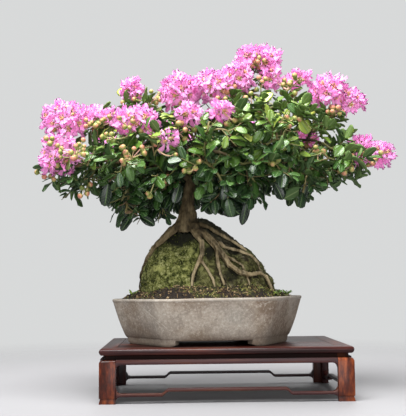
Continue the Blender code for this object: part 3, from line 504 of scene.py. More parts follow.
class Heap:
    """Small shapes in one mesh. Each point keeps its place along and across its shape, and a shade."""

    def __init__(self):
        self.points = []
        self.marks = []
        self.faces = []
        self.finish_numbers = []
        self.count = 0

    def add(self, points, faces, finish_number, shade, marks=None):
        marks = np.zeros((len(points), 2)) if marks is None else marks
        self.points.append(np.asarray(points, float))
        self.marks.append(np.column_stack([marks, np.full(len(points), shade)]))
        self.faces += [tuple(index + self.count for index in face) for face in faces]
        self.finish_numbers += list(np.broadcast_to(finish_number, len(faces)))
        self.count += len(points)

    def become(self, name, finishes):
        obj = mesh_object(name, to_frame(np.vstack(self.points)), self.faces, finishes)
        obj.data.polygons.foreach_set("material_index", self.finish_numbers)
        marks = np.vstack(self.marks)
        for column, mark in enumerate(("along", "across", "shade")):
            write_mark(obj.data, mark, marks[:, column])
        return obj


print("a heap keeps the marks along, across and shade")

# %% Rings, tubes and curves
def ring_faces(rings, count):
    """Faces between rings of points that follow each other, with this many points in each."""
    return [(low + k, low + (k + 1) % count, low + count + (k + 1) % count, low + count + k)
            for low in range(0, (rings - 1) * count, count) for k in range(count)]


def ring_skin(rings):
    """Points and faces over rings of equal length, closed flat at both ends."""
    count = len(rings[0])
    points = [point for ring in rings for point in ring]
    ends = [tuple(reversed(range(count))), tuple(range(len(points) - count, len(points)))]
    return points, ring_faces(len(rings), count) + ends


def tube_rings(path, radii, sides):
    """Points and faces of a round tube along a path, closed at both ends."""
    rings = []
    across = (path[1] - path[0]).orthogonal().normalized()
    for i, point in enumerate(path):
        ahead = (path[min(i + 1, len(path) - 1)] - path[max(i - 1, 0)]).normalized()
        across = square_to(ahead, across)
        beside = ahead.cross(across)
        rings.append([point + spoke(across, beside, FULL_TURN * k / sides) * radii[i] for k in range(sides)])
    return ring_skin(rings)


def curved(points, steps):
    """A smooth curve through the points, with this many steps between each pair."""
    out = []
    for i in range(len(points) - 1):
        before, a = points[max(i - 1, 0)], points[i]
        b, after = points[i + 1], points[min(i + 2, len(points) - 1)]
        for k in range(steps):
            t = k / steps
            out.append(0.5 * ((2 * a) + (b - before) * t + (2 * before - 5 * a + 4 * b - after) * t * t
                              + (3 * a - before - 3 * b + after) * t ** 3))
    out.append(points[-1])
    return out


def even(start, end, count):
    """Evenly spaced values from start to end."""
    return [start + (end - start) * k / (count - 1) for k in range(count)]


def add_tube(heap, course, radii, sides, finish_number, shade):
    points, faces = tube_rings(course, radii, sides)
    heap.add(points, faces, finish_number, shade)


print("radii from 2 to 1 in five steps:", even(2.0, 1.0, 5))

# %% [markdown]
# ## The stand
# The stand is polished rosewood: red-brown, with darker streaks along the grain and a thin coat
# of polish that catches the light at every softened edge. The solids have the right shape but
# knife-sharp edges, which no real table has, so each board is copied and its edges are rounded
# by a bevel. The grain has to run along each board, so there is a finish for each direction.
# Boards in the shade of the top get painted shade and are darker wood, and the front legs get painted
# light and are the brightest. The groove under the top gets a painted shadow, nearly black, and its polish is
# dull there.

# %% Rosewood
GRAIN_LONG, GRAIN_SHORT = 9.0, 150.0
LEG_GRAIN_LONG = 45.0
STREAKS_BROADER, PORES_FINER = 0.22, 5.0
WAIST_SOFT_M = 0.0006
WAIST_MM = 4.5
WAIST_Z = (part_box("stand_apron_front")[1].z - WAIST_MM * MM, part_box("stand_top_front")[0].z)


def rosewood(name, along, painted_light=1.0, grain_along=GRAIN_LONG):
    """Polished rosewood, with its grain along X, Y or Z. More painted light makes it brighter and more
    orange.
    """
    wood = Finish(name, Specular_IOR_Level=0.20, Coat_Roughness=0.10)
    scale = [GRAIN_SHORT] * 3
    scale["XYZ".index(along)] = grain_along
    fibres = wood.noise(1.0, 8.0, 0.62, wood.stretched(tuple(scale)))
    streaks = wood.noise(1.0, 3.0, 0.5, wood.stretched(tuple(v * STREAKS_BROADER for v in scale)))
    pores = wood.noise(1.0, 2.0, 0.5, wood.stretched(tuple(v * PORES_FINER for v in scale)))
    figure = (0.55 * fibres + 0.55 * streaks).between(0.40, 0.72)
    colour = wood.ramp(
        figure, (0.0, (0.012, 0.003, 0.002)), (0.35, (0.036 * painted_light, 0.006 * painted_light, 0.004)),
        (0.7, (0.085 * painted_light, 0.018 * painted_light, 0.008)), (1.0, (0.15 * painted_light, 0.037 * painted_light, 0.014 * painted_light)),
    )
    height = wood.coordinate("Z")
    below_top = 1 - height.between(WAIST_Z[1], WAIST_Z[1] + WAIST_SOFT_M)
    in_waist = height.between(WAIST_Z[0] - WAIST_SOFT_M, WAIST_Z[0]) * below_top
    dark_pores = pores.between(0.60, 0.72)
    # Painted shadow in the groove under the top, nearly black. The dark pores are the wood's own.
    wood.set(Base_Color=wood.layers(colour, (0.85 * in_waist, (0.006, 0.002, 0.001)),
                                    (0.5 * dark_pores, (0.012, 0.004, 0.003))))
    wood.set(Roughness=0.28 + 0.16 * fibres + 0.55 * in_waist, Coat_Weight=0.09 * (1 - in_waist))
    wood.bump(fibres - 0.5 * dark_pores, 0.00012, 0.5)
    return wood


# Lit and shaded copies of one wood: painted light on the front legs, painted shade on the boards below and
# behind the top.
wood_across = rosewood("rosewood across", "X", 0.66)
wood_back = rosewood("rosewood to the back", "Y", 0.66)
wood_up = rosewood("rosewood upright, painted light", "Z", 2.0, LEG_GRAIN_LONG)
wood_far = rosewood("rosewood in the shade", "Z", 0.50)
wood_far_across = rosewood("rosewood across the back, painted shade", "X", 0.35)
wood_below = rosewood("rosewood below the top, painted shade", "X", 0.46)
print("the groove under the top lies between", [round(z, 4) for z in WAIST_Z], "m")

# %% Stand
EDGE_ROUND_MM, ROUNDED_FROM, SHARP_FROM = 0.7, math.radians(35), math.radians(50)
STAND_GRAIN = {
    "stand_panel": wood_across, "stand_top_front": wood_across, "stand_top_back": wood_across,
    "stand_top_left": wood_back, "stand_top_right": wood_back,
}
SIDE_GRAIN = {"front": wood_below, "back": wood_far_across, "left": wood_back, "right": wood_back}
for side, grain in SIDE_GRAIN.items():
    for board in ("apron", "rail"):
        STAND_GRAIN[f"stand_{board}_{side}"] = grain
for corner in ("front_left", "front_right", "back_left", "back_right"):
    STAND_GRAIN[f"stand_leg_{corner}"] = wood_up if corner.startswith("front") else wood_far

for node, grain in STAND_GRAIN.items():
    board = weld(copy_of(node, "polished_" + node, grain))
    add_modifier(board, "BEVEL", width=EDGE_ROUND_MM * MM, segments=3, limit_method="ANGLE",
                 angle_limit=ROUNDED_FROM)
    apply_modifiers(board)
    board.data.shade_smooth()
    board.data.set_sharp_from_angle(angle=SHARP_FROM)
    piece_of(board, "stand_wood", node)

# %% [markdown]
# ## The pot
# The pot is unglazed clay, thrown wide, cut to six soft sides and set on bracket feet. Its solid
# has few sides, which shows along the rim, so the same plan is drawn again here with many more
# points. Two facts keep it the same pot: the plan is a hexagon with round corners, and the wall
# is a short list of heights with a distance in from the rim's line.

# %% Pot sizes
POT_CENTRE, POT_YAW = (-19.0, -3.0), math.radians(4.0)
POT_HALF_WIDTH, POT_HALF_DEPTH, POT_FACET_HALF, POT_CORNER_RADIUS = 126.5, 101.0, 68.0, 30.0
POT_BASE_Z, POT_RIM, POT_FOOT, POT_LEAN = 63.8, 57.0, 6.3, 0.009
# The wall from foot to rim and down the inside: how far in from the rim's line, and how high.
POT_WALL_CURVE = [(25.0, 6.3), (18.6, 6.7), (16.0, 8.6), (13.7, 13.0), (8.3, 28.0), (3.8, 43.0), (1.2, 52.0)]
POT_RIM_BAND = [
    (1.1, 52.4), (1.0, 52.8), (0.5, 53.3), (0.2, 54.0), (0.0, 54.9), (0.2, 55.9), (0.9, 56.7), (2.0, 57.0),
]
POT_LIP = [(6.0, 57.0), (7.3, 56.7), (8.0, 55.9), (8.5, 54.6)]
POT_INSIDE_CURVE = [(12.6, 40.0), (17.6, 24.0), (24.0, 13.3)]
FOOT_ARMS = (84.0, 9.0)
FOOT_OUT, FOOT_IN, FOOT_CURL, FOOT_SUNK = 14.5, 28.0, 2.0, 2.5
FOOT_STEPS = 40
DRAIN_RADIUS, DRAIN_SPACING, DRAIN_SIDES = 8.0, 62.0, 32
CORNER_STEPS, SIDE_STEPS = 9, 6
CORNER_TIGHTENING = 0.35


def hexagon_corners(inset):
    w, d, f = POT_HALF_WIDTH, POT_HALF_DEPTH, POT_FACET_HALF
    slope = math.atan2(d, w - f)
    tip = w - inset / math.sin(slope)
    front = d - inset
    corner = f - inset * (1 - math.cos(slope)) / math.sin(slope)
    return [(tip, 0), (corner, front), (-corner, front), (-tip, 0), (-corner, -front), (corner, -front)]


def pot_plan(inset, z, side_steps=SIDE_STEPS):
    """The pot's outline at a height, drawn in from the rim's line by the inset."""
    corners = [Vector(c) for c in hexagon_corners(inset)]
    radius = POT_CORNER_RADIUS - CORNER_TIGHTENING * inset
    ring = []
    for i, corner in enumerate(corners):
        following = corners[(i + 1) % 6]
        to_before = (corners[i - 1] - corner).normalized()
        to_after = (following - corner).normalized()
        half = math.acos(max(-1.0, min(1.0, to_before.dot(to_after)))) / 2
        run = radius / math.tan(half)
        middle = corner + (to_before + to_after).normalized() * (radius / math.sin(half))
        first = corner + to_before * run - middle
        first_angle = math.atan2(first.y, first.x)
        for k in range(CORNER_STEPS + 1):
            angle = first_angle + (math.pi - 2 * half) * k / CORNER_STEPS
            ring.append(middle + Vector((math.cos(angle), math.sin(angle))) * radius)
        start, end = corner + to_after * run, following - to_after * run
        ring += [start.lerp(end, k / side_steps) for k in range(1, side_steps)]
    turn = Matrix.Rotation(POT_YAW, 2)
    slope = POT_LEAN * clamped((z - POT_BASE_Z) / POT_RIM)
    placed = []
    for point in ring:
        x, y = turn @ point
        placed.append(Vector((x + POT_CENTRE[0], y + POT_CENTRE[1], z + slope * x)))
    return placed


def rows_between(rows, steps):
    return [(p.x, p.y) for p in curved([Vector((inset, z, 0)) for inset, z in rows], steps)]


print("the pot's rim is", 2 * POT_HALF_WIDTH, "mm wide at its corners")

# %% [markdown]
# Clay gets its look from what the fire and the years did to it: broad grey and brown clouds,
# pale worn patches, dark specks, and scratches that are lighter than the skin. The dirt gathers
# low on the wall. Each of these is one mask over the clay's own colour, laid on coat by coat.

# %% Clay finish
# Each scratch: its slope, its height at the middle, and where it starts and ends, in metres.
SCRATCHES = [
    (-0.81, 0.0356, -0.1040, -0.0600), (0.78, 0.1720, -0.1010, -0.0760), (0.30, 0.0980, 0.0450, 0.0620),
]
SCRATCH_FADE = 0.004
clay = Finish("worn clay", Specular_IOR_Level=0.35)
clouds = clay.noise(16.0, 5.0, 0.6)
patches = clay.noise(38.0, 6.0, 0.68)
grit = clay.noise(900.0, 2.0, 0.5)
specks = clay.cells(420.0)
speckle = clay.noise(330.0, 4.0, 0.75)
stained = clay.noise(24.0, 4.0, 0.6, clay.stretched((1.0, 1.0, 2.6))).between(0.56, 0.70)
clay_across, clay_height = clay.coordinate("X"), clay.coordinate("Z")
low_dirt = 1 - clay_height.between(0.066, 0.086)
# The rim is paler: partly wear, and partly a painted highlight where the light from above falls on it.
rim_wear_and_highlight = clay_height.between(0.1165, 0.1178)
scratches = 0
for slope, height, start, end in SCRATCHES:
    line = 1 - abs(clay_height - slope * clay_across - height).between(0.0002, 0.0007)
    begun = clay_across.between(start, start + SCRATCH_FADE)
    scratches = line * begun * (1 - clay_across.between(end - SCRATCH_FADE, end)) + scratches
scratches = scratches * speckle.between(0.35, 0.55)
clay_body = clay.ramp(clouds, (0.36, (0.185, 0.130, 0.090)), (0.46, (0.235, 0.182, 0.133)),
                      (0.54, (0.258, 0.214, 0.172)), (0.66, (0.310, 0.276, 0.233)))
clay_colour = clay.layers(
    clay_body,
    (0.50 * patches.between(0.47, 0.60), (0.43, 0.375, 0.31)),
    (0.55 * speckle.between(0.50, 0.66), (0.52, 0.475, 0.41)),
    (0.32 * (1 - speckle.between(0.36, 0.48)), (0.135, 0.105, 0.078)),
    (0.42 * stained, (0.110, 0.078, 0.050)),
    (0.6 * low_dirt, (0.115, 0.085, 0.060)),
    (0.45 * rim_wear_and_highlight, (0.36, 0.33, 0.285)),
    (0.75 * scratches, (0.50, 0.46, 0.39)),
    (0.4 * (1 - specks.between(0.10, 0.22)), (0.13, 0.10, 0.075)),
)
clay.set(Base_Color=clay_colour, Roughness=0.62 + 0.25 * patches)
clay.bump(0.4 * grit + 0.8 * patches + 0.6 * speckle - 0.3 * scratches, 0.0007, 0.6)
print("the clay has", len(clay.tree.nodes), "nodes and", len(SCRATCHES), "scratches")

# %% Pot
CLAY_WAVE_MM, CLAY_WAVE_LENGTH_MM, WAVES_FROM_Z = 0.35, 34.0, 68.0
CLAY_SHARP_FROM = math.radians(38)


def foot(corner_index, arms):
    """A bracket foot that follows the base round one corner and curls up at its ends."""
    outer = pot_plan(FOOT_OUT, 0.0, FOOT_STEPS)
    inner = pot_plan(FOOT_IN, 0.0, FOOT_STEPS)
    middle = corner_index * (CORNER_STEPS + FOOT_STEPS) + CORNER_STEPS // 2
    halves = []
    for step, arm in zip((-1, 1), arms):
        chosen = [middle % len(outer)]
        travelled = 0.0
        while travelled < arm:
            following = (chosen[-1] + step) % len(outer)
            travelled += (outer[following] - outer[chosen[-1]]).length
            chosen.append(following)
        halves.append(chosen)
    order = list(reversed(halves[0]))[:-1] + halves[1]
    rings = []
    for position, index in enumerate(order):
        from_end = min(position, len(order) - 1 - position)
        low = POT_BASE_Z + FOOT_CURL * max(0.0, 1 - from_end / 3) ** 2
        high = POT_BASE_Z + POT_FOOT + FOOT_SUNK
        section = [(0.22, low), (0.9, low), (1.0, low + 0.8), (1.0, high), (0.11, high), (0.13, low + 4.0),
                   (0.17, low + 0.7)]
        rings.append([outer[index].lerp(inner[index], share) + UP * z for share, z in section])
    return ring_skin(rings)


def boolean(obj, operation, shape):
    """Joins or cuts the object with a closed shape, given as points and faces."""
    other = weld(mesh_object("tool", to_frame(shape[0]), shape[1], []))
    add_modifier(obj, "BOOLEAN", operation=operation, object=other)
    apply_modifiers(obj)
    bpy.data.objects.remove(other)


def drain(side):
    """A drain hole's cutter, left (-1) or right (1) of the middle."""
    x, y = POT_CENTRE[0] + side * DRAIN_SPACING / 2, POT_CENTRE[1]
    turns = [FULL_TURN * k / DRAIN_SIDES for k in range(DRAIN_SIDES)]
    return ring_skin([
        [Vector((x + DRAIN_RADIUS * math.cos(a), y + DRAIN_RADIUS * math.sin(a), z)) for a in turns]
        for z in (POT_BASE_Z - 5, POT_BASE_Z + 25)
    ])


def clay_wave(place, normal):
    """A hand's unevenness, which fades out towards the feet."""
    return CLAY_WAVE_MM * noise.noise(place / CLAY_WAVE_LENGTH_MM) * clamped((place.z - WAVES_FROM_Z) / 8)


rows = rows_between(POT_WALL_CURVE, 4) + POT_RIM_BAND + POT_LIP + rows_between(POT_INSIDE_CURVE, 3)
points, faces = ring_skin([pot_plan(inset, POT_BASE_Z + z) for inset, z in rows])
pot = weld(mesh_object("clay_pot", to_frame(points), faces, [clay]))
for corner, arms in ((1, FOOT_ARMS), (2, FOOT_ARMS[::-1]), (4, FOOT_ARMS), (5, FOOT_ARMS[::-1])):
    boolean(pot, "UNION", foot(corner, arms))
for side in (-1, 1):
    boolean(pot, "DIFFERENCE", drain(side))
push_out(pot, clay_wave)
pot.data.shade_smooth()
pot.data.set_sharp_from_angle(angle=CLAY_SHARP_FROM)
piece_of(pot, "ceramic", "pot")

# %% [markdown]
# ## The rock
# Half of the rock is a rounded lobe under moss, and half is bare, with sharper faces and cracks.
# The node's own mesh is the right stone with its detail missing, so it gets one even skin by
# remeshing, and each point is then pushed along its normal: broad bumps everywhere, ridges and
# cracks on the bare half, and the few large dents and swellings that the portrait shows.

# %% Rock finish
stone = Finish("mossy stone", Specular_IOR_Level=0.3)
stone_across, stone_height = stone.coordinate("X"), stone.coordinate("Z")
stone_clouds = stone.noise(34.0, 7.0, 0.66)
stone_grain = stone.noise(330.0, 5.0, 0.78)
stone_spots = stone.noise(95.0, 5.0, 0.7)
bare_figure = 0.45 * stone_clouds + 0.3 * stone_spots + 0.25 * stone_grain
bare = stone.ramp(bare_figure, (0.37, (0.018, 0.015, 0.008)), (0.45, (0.085, 0.072, 0.038)),
                  (0.52, (0.22, 0.195, 0.115)), (0.62, (0.46, 0.42, 0.30)))
moss_figure = 0.4 * stone_spots + 0.6 * stone_grain
moss_skin = stone.ramp(moss_figure, (0.40, (0.006, 0.009, 0.002)), (0.47, (0.055, 0.068, 0.012)),
                       (0.53, (0.20, 0.215, 0.055)), (0.60, (0.48, 0.48, 0.22)))
leftward = 1 - stone_across.between(-0.045, 0.012)
downward = 1 - stone_height.between(0.165, 0.215)
mossy = (0.62 * leftward + 0.45 * downward + 1.3 * stone_clouds - 0.92).between(0.0, 0.22)
stone_ridge = stone.mark("ridge")
ridge_highlight_colour = stone.mix(mossy, (0.50, 0.45, 0.31), (0.50, 0.51, 0.17))
painted_shadow_under_trunk = (stone_height + 0.030 * stone_clouds).between(0.188, 0.214)
low_middle = (1 - stone_height.between(0.160, 0.185)) * stone_across.between(-0.034, -0.018)
# Painted light on the stone: a painted highlight on the ridges, painted shade in the hollows and dents, and a
# painted shadow under the trunk.
stone_colour = stone.layers(
    stone.mix(mossy, bare, moss_skin),
    (0.65 * stone_ridge.between(0.15, 1.2), ridge_highlight_colour),
    (0.92 * (1 - stone_ridge.between(-1.2, -0.05)), (0.012, 0.011, 0.005)),
    (0.55 * low_middle, (0.055, 0.042, 0.020)),
    (0.85 * stone.mark("dent").between(0.3, 2.6) + 0.85 * painted_shadow_under_trunk, (0.016, 0.016, 0.008)),
)
stone.set(Base_Color=stone_colour, Roughness=0.92)
stone.bump(stone_grain + 0.9 * stone_spots, 0.0026, 0.9)
print("the stone has", len(stone.tree.nodes), "nodes")

# %% Rock
ROCK_VOXEL_MM, ROCK_SMOOTH_STEPS, ROCK_RIDGE_STEPS = 1.7, 2, 26
ROCK_LOBE_X, BARE_WITHIN_MM = -30.0, 22.0
CRACK_DEPTH_MM, CRACK_WIDTH = 1.6, 0.10
# Each dent and swelling: its place across and upright, its radius and its depth, in millimetres.
ROCK_DENTS = [
    (-57, 199, 15, 4.5), (-38, 205, 9, 3.0), (-18, 176, 8, 3.6), (15, 180, 8, 4.0), (9, 148, 10, 3.0),
    (-36, 146, 9, 2.5), (-100, 138, 9, 2.0), (-58, 136, 10, 2.2),
]
ROCK_SWELLS = [(-75, 163, 22, 3.0), (-42, 178, 8, 1.5), (28, 166, 9, 2.5), (52, 160, 9, 2.0)]


def dent_at(place):
    """How deep the rock's front is dented here, in millimetres. A swelling counts as less than nought."""
    depth = 0.0
    for sign, spots in ((1, ROCK_DENTS), (-1, ROCK_SWELLS)):
        for x, z, radius, most in spots:
            depth += sign * most * math.exp(-((place.x - x) ** 2 + (place.z - z) ** 2) / radius ** 2)
    return depth * clamped(0.5 - place.y / 20.0)


def rock_height(place, normal):
    """How far the rock's skin stands out here, in millimetres."""
    lobes = 1.5 * noise.noise(place / 17.0) + 0.8 * noise.noise(place / 7.5)
    pits = 0.8 * noise.noise(place / 3.6) + 0.7 * noise.noise(place / 5.5)
    bareness = clamped((place.x - ROCK_LOBE_X) / BARE_WITHIN_MM)
    near, far = noise.voronoi(place / 19.0)[0][:2]
    crack = -CRACK_DEPTH_MM * max(0.0, 1 - (far - near) / CRACK_WIDTH)
    ledge = 1.4 * noise.ridged_multi_fractal(place / 26.0, 1.0, 2.1, 3, 1.0, 2.0) - 3.4
    return lobes * 0.75 + pits - 0.6 + bareness * (crack + ledge) - dent_at(place)


rock = remeshed(weld(copy_of("rock", "mossy_rock", stone)), ROCK_VOXEL_MM, ROCK_SMOOTH_STEPS)
push_out(rock, rock_height)
mark_ridges(rock, ROCK_RIDGE_STEPS)
write_mark(rock.data, "dent", [dent_at(from_frame(point.co)) for point in rock.data.vertices])
piece_of(rock, "stone", "rock")

# %% [markdown]
# ## Soil
# The soil is small hard grains with bits of bark and old stalks among them. The heap itself is
# the node with an uneven skin. The grains are separate lumps sunk into it and the stalks are thin
# bent rods, because a bump alone stays flat against the pot's rim, where the eye looks for them.

# %% Soil finish
earth = Finish("soil grains", Roughness=0.95)
earth_noise = earth.noise(260.0, 6.0, 0.7)
earth_clouds = earth.noise(30.0, 3.0, 0.5)
earth_figure = 0.75 * earth_noise + 0.25 * earth_clouds
earth_colour = earth.ramp(earth_figure, (0.40, (0.003, 0.0015, 0.0006)), (0.53, (0.016, 0.0080, 0.0026)),
                          (0.60, (0.085, 0.052, 0.020)), (0.70, (0.25, 0.17, 0.08)))
earth_green = earth.ramp(earth_noise, (0.40, (0.008, 0.009, 0.002)), (0.52, (0.055, 0.058, 0.010)),
                         (0.66, (0.20, 0.19, 0.040)))
green_patches = (0.5 * earth_clouds + 0.5 * earth.noise(70.0, 5.0, 0.7)).between(0.50, 0.58)
earth.set(Base_Color=earth.mix(0.75 * green_patches, earth_colour, earth_green))
earth.bump(earth_noise, 0.002, 0.9)

crumbs = Finish("loose grains", Roughness=0.9)
crumbs.set(Base_Color=crumbs.by_shade(
    (0.0, (0.004, 0.002, 0.0008)), (0.50, (0.022, 0.011, 0.004)), (0.72, (0.135, 0.082, 0.034)),
    (0.88, (0.27, 0.175, 0.080)), (1.0, (0.46, 0.34, 0.19)),
))
print("the soil has", len(earth.tree.nodes), "nodes and its grains", len(crumbs.tree.nodes))

# %% [markdown]
# Grains, needles and moss all lie where chance puts them, but only where they can lie. So places
# are drawn evenly over a skin with a seed, and a small function says how likely each one is kept.

# %% Scattering
MOSS_RNG_SEED, CRUMB_RNG_SEED = 41, 42


def scatter(obj, count, seed, wanted):
    """Seeded places on an object's skin, as (place in millimetres, normal), kept as `wanted` says."""
    rng = np.random.default_rng(seed)
    mesh = obj.data
    mesh.calc_loop_triangles()
    corners = np.array([tri.vertices for tri in mesh.loop_triangles])
    points = read_rows(mesh.vertices, "co")[corners]
    crossed = np.cross(points[:, 1] - points[:, 0], points[:, 2] - points[:, 0])
    areas = np.linalg.norm(crossed, axis=1)
    chosen = rng.choice(len(areas), count, p=areas / areas.sum())
    a, b = rng.random(count), rng.random(count)
    flipped = a + b > 1
    a[flipped], b[flipped] = 1 - a[flipped], 1 - b[flipped]
    trio = points[chosen]
    places = trio[:, 0] + (trio[:, 1] - trio[:, 0]) * a[:, None] + (trio[:, 2] - trio[:, 0]) * b[:, None]
    normals = crossed[chosen] / areas[chosen][:, None]
    luck = rng.random(count)
    out = []
    for place, normal, chance in zip(places, normals, luck):
        place, normal = from_frame(place), Vector(normal)
        if chance < wanted(place, normal):
            out.append((place, normal))
    return out


CRUMB = bmesh.new()
bmesh.ops.create_icosphere(CRUMB, subdivisions=1, radius=1.0)
CRUMB_POINTS = np.array([vert.co for vert in CRUMB.verts])
CRUMB_FACES = [tuple(vert.index for vert in face.verts) for face in CRUMB.faces]
CRUMB.free()
print("a crumb has", len(CRUMB_FACES), "faces")

# %% Soil
SOIL_VOXEL_MM, SOIL_SMOOTH_STEPS = 2.4, 2
SOIL_TOP_Z, TOP_FACES_UP = 117.0, 0.35
CRUMB_COUNT, CRUMB_RADIUS_MM, CRUMB_SQUASH = 5600, (0.5, 1.6), (0.7, 1.3)
NEEDLE_COUNT, NEEDLE_LENGTH_MM = 900, (4.0, 11.0)
NEEDLE_RADII = [0.32, 0.36, 0.38, 0.36, 0.30]
# The bright mound of moss at the right front: its middle, and how far it reaches each way.
MOSS_MOUND = (58.0, -54.0, 42.0, 32.0)


def on_top(place, normal):
    return 1.0 if normal.z > TOP_FACES_UP and place.z > SOIL_TOP_Z else 0.0


def mossy_on_soil(place, normal):
    x, y, wide, deep = MOSS_MOUND
    mound = 1.6 - 1.3 * math.hypot((place.x - x) / wide, (place.y - y) / deep)
    patch = 1.4 * noise.noise(place / 16.0 + Vector((7, 3, 1))) + 0.15
    return on_top(place, normal) * clamped(max(mound, patch))


def bare_soil(place, normal):
    return on_top(place, normal) * (1 - 0.85 * mossy_on_soil(place, normal))


def lumps(place, normal):
    return on_top(place, normal) * (0.9 * noise.noise(place / 6.0) + 0.6 * noise.noise(place / 2.8))


soil = remeshed(weld(copy_of("soil", "planting_soil", earth)), SOIL_VOXEL_MM, SOIL_SMOOTH_STEPS)
push_out(soil, lumps)
piece_of(soil, "earth", "soil")

heap = Heap()
grain_rng = random.Random(CRUMB_RNG_SEED)
for place, normal in scatter(soil, CRUMB_COUNT, CRUMB_RNG_SEED, bare_soil):
    size = grain_rng.uniform(*CRUMB_RADIUS_MM)
    squash = np.array([grain_rng.uniform(*CRUMB_SQUASH) for axis in range(3)])
    turn = np.array(Euler([grain_rng.uniform(0, ANY_TURN) for axis in range(3)]).to_matrix())
    lump = (CRUMB_POINTS * squash) @ turn * size
    heap.add(lump + np.array(place + normal * size * 0.25), CRUMB_FACES, 0, grain_rng.random())
for place, normal in scatter(soil, NEEDLE_COUNT, CRUMB_RNG_SEED + 1, on_top):
    reach = grain_rng.uniform(*NEEDLE_LENGTH_MM)
    way = normal.orthogonal().normalized()
    way.rotate(Matrix.Rotation(grain_rng.uniform(0, ANY_TURN), 3, normal))
    middle = place + normal * grain_rng.uniform(0.4, 2.2)
    course = [place - way * reach / 2, middle, place + way * reach / 2 + normal * 0.4]
    add_tube(heap, curved(course, 2), NEEDLE_RADII, 4, 0, grain_rng.uniform(0.6, 1.0))
piece_of(heap.become("soil_grains", [crumbs]), "earth")

# %% [markdown]
# ## Moss
# Moss grows in cushions of tiny upright shoots. Each shoot is a closed spike with three sides,
# a millimetre wide. Thousands of them on the shaded lobe of the rock, on the soil round it and
# on the bright mound at the right front give the velvet edge that a bump can't.

# %% Moss
MOSS_PATCHES_MM, BETWEEN_PATCHES = 13.0, 0.12
SPIKE_WIDTH_MM, SPIKE_HEIGHT_MM, SPIKE_LEAN = (0.45, 0.85), (1.2, 3.0), 0.55
SPIKE_SUNK_MM, SPIKE_THIRD_TURN = 0.5, 2.1
SPIKE_FACES, SPIKE_MARKS = [(0, 2, 1), (0, 1, 3), (1, 2, 3), (2, 0, 3)], [(0, 0), (0, 0), (0, 0), (1, 0)]
MOSS_COUNTS = {"rock": 12000, "soil": 12500}
SHADED_ABOVE_Z, MOSS_SHADE_SPREAD = 178.0, 0.28

moss = Finish("moss shoots", Roughness=0.85, Specular_IOR_Level=0.25)
moss_colour = moss.by_shade((0.0, (0.026, 0.032, 0.005)), (0.35, (0.135, 0.155, 0.020)),
                            (0.65, (0.35, 0.37, 0.065)), (1.0, (0.66, 0.65, 0.26)))
moss.set(Base_Color=moss.mix(0.75 * (1 - moss.mark("along")), moss_colour, (0.020, 0.024, 0.007)))


def mossy_on_rock(place, normal):
    lobe = clamped((-18.0 - place.x) / 30.0) + 0.35 * clamped((165.0 - place.z) / 40.0)
    patch = noise.noise(place / MOSS_PATCHES_MM) + 0.5 * noise.noise(place / 5.0)
    return (1.0 if patch > 0.05 else BETWEEN_PATCHES) * lobe * clamped(normal.z + 0.75)


def add_moss(heap, rng, place, normal, light):
    """One spike on the skin. Its four corners are three at the foot and the tip."""
    side = normal.orthogonal().normalized()
    beside = normal.cross(side)
    width, height = rng.uniform(*SPIKE_WIDTH_MM), rng.uniform(*SPIKE_HEIGHT_MM)
    turn = rng.uniform(0, ANY_TURN)
    foot_place = place - normal * SPIKE_SUNK_MM
    corners = [foot_place + spoke(side, beside, turn + k * SPIKE_THIRD_TURN) * width for k in range(3)]
    tip = place + (normal + UP * 0.4 + random_step(rng, SPIKE_LEAN)).normalized() * height
    heap.add([*corners, tip], SPIKE_FACES, 0, clamped(rng.gauss(light, MOSS_SHADE_SPREAD)), SPIKE_MARKS)


def moss_light(place):
    """Light and dark tufts on the rock, with painted shade under the trunk and in the dents."""
    shaded = max(0.0, (place.z - SHADED_ABOVE_Z) / 18.0, dent_at(place) / 4.0)
    return 0.46 + 0.5 * noise.noise(place / 9.0) + 0.9 * noise.noise(place / 2.3) - 0.7 * shaded


rng = random.Random(MOSS_RNG_SEED)
heap = Heap()
for place, normal in scatter(rock, MOSS_COUNTS["rock"], MOSS_RNG_SEED, mossy_on_rock):
    add_moss(heap, rng, place, normal, moss_light(place))
on_the_rock = len(heap.points)
for place, normal in scatter(soil, MOSS_COUNTS["soil"], MOSS_RNG_SEED + 1, mossy_on_soil):
    light = 0.44 + 0.6 * noise.noise(place / 12.0) + 0.6 * noise.noise(place / 2.3)
    add_moss(heap, rng, place, normal, light)
print(on_the_rock, "moss shoots on the rock and", len(heap.points) - on_the_rock, "on the soil")
piece_of(heap.become("moss_cushions", [moss]), "leaves")

# %% [markdown]
# ## How the tree grows
# The crown follows the same rule as the solids. A trunk and six limbs are lists of points. Each
# spray then names the places its shoots reach, and the rule finds a way from the nearest wood
# to them, trying again with a small seeded nudge wherever the way is taken. Balls stand for
# what has grown. The same seeds and the same order of draws give the same courses as the solids
# have, so every twig here lies where its node is.

# %% Trunk, limbs and sprays
TRUNK = [
    (-44, -14, 205, 14.5), (-45, -16, 216, 13.8), (-44, -17, 226, 11.8), (-44, -17, 236, 9.4),
    (-43, -16, 248, 7.7), (-39, -13, 268, 6.8), (-29, -8, 288, 6.2), (-20, -4, 304, 5.3), (-6, 0, 325, 4.2),
    (14, 2, 350, 3.2), (32, 0, 374, 2.3),
]
LIMBS = [
    [(-38, -12, 270, 4.4), (-62, -22, 283, 3.7), (-98, -30, 290, 3.0), (-140, -30, 292, 2.2)],
    [(-28, -8, 290, 4.2), (-50, 2, 318, 3.5), (-84, 8, 338, 2.7), (-112, 4, 350, 2.0)],
    [(-20, -4, 304, 4.3), (14, -12, 316, 3.6), (62, -16, 322, 2.9), (112, -12, 322, 2.1)],
    [(-30, -9, 286, 3.6), (-28, -44, 298, 2.9), (-14, -78, 298, 2.1)],
    [(-22, -5, 300, 3.9), (-28, 36, 315, 3.0), (-38, 74, 318, 2.1)],
    [(-6, 0, 325, 3.5), (32, 36, 336, 2.8), (74, 62, 332, 2.0)],
]
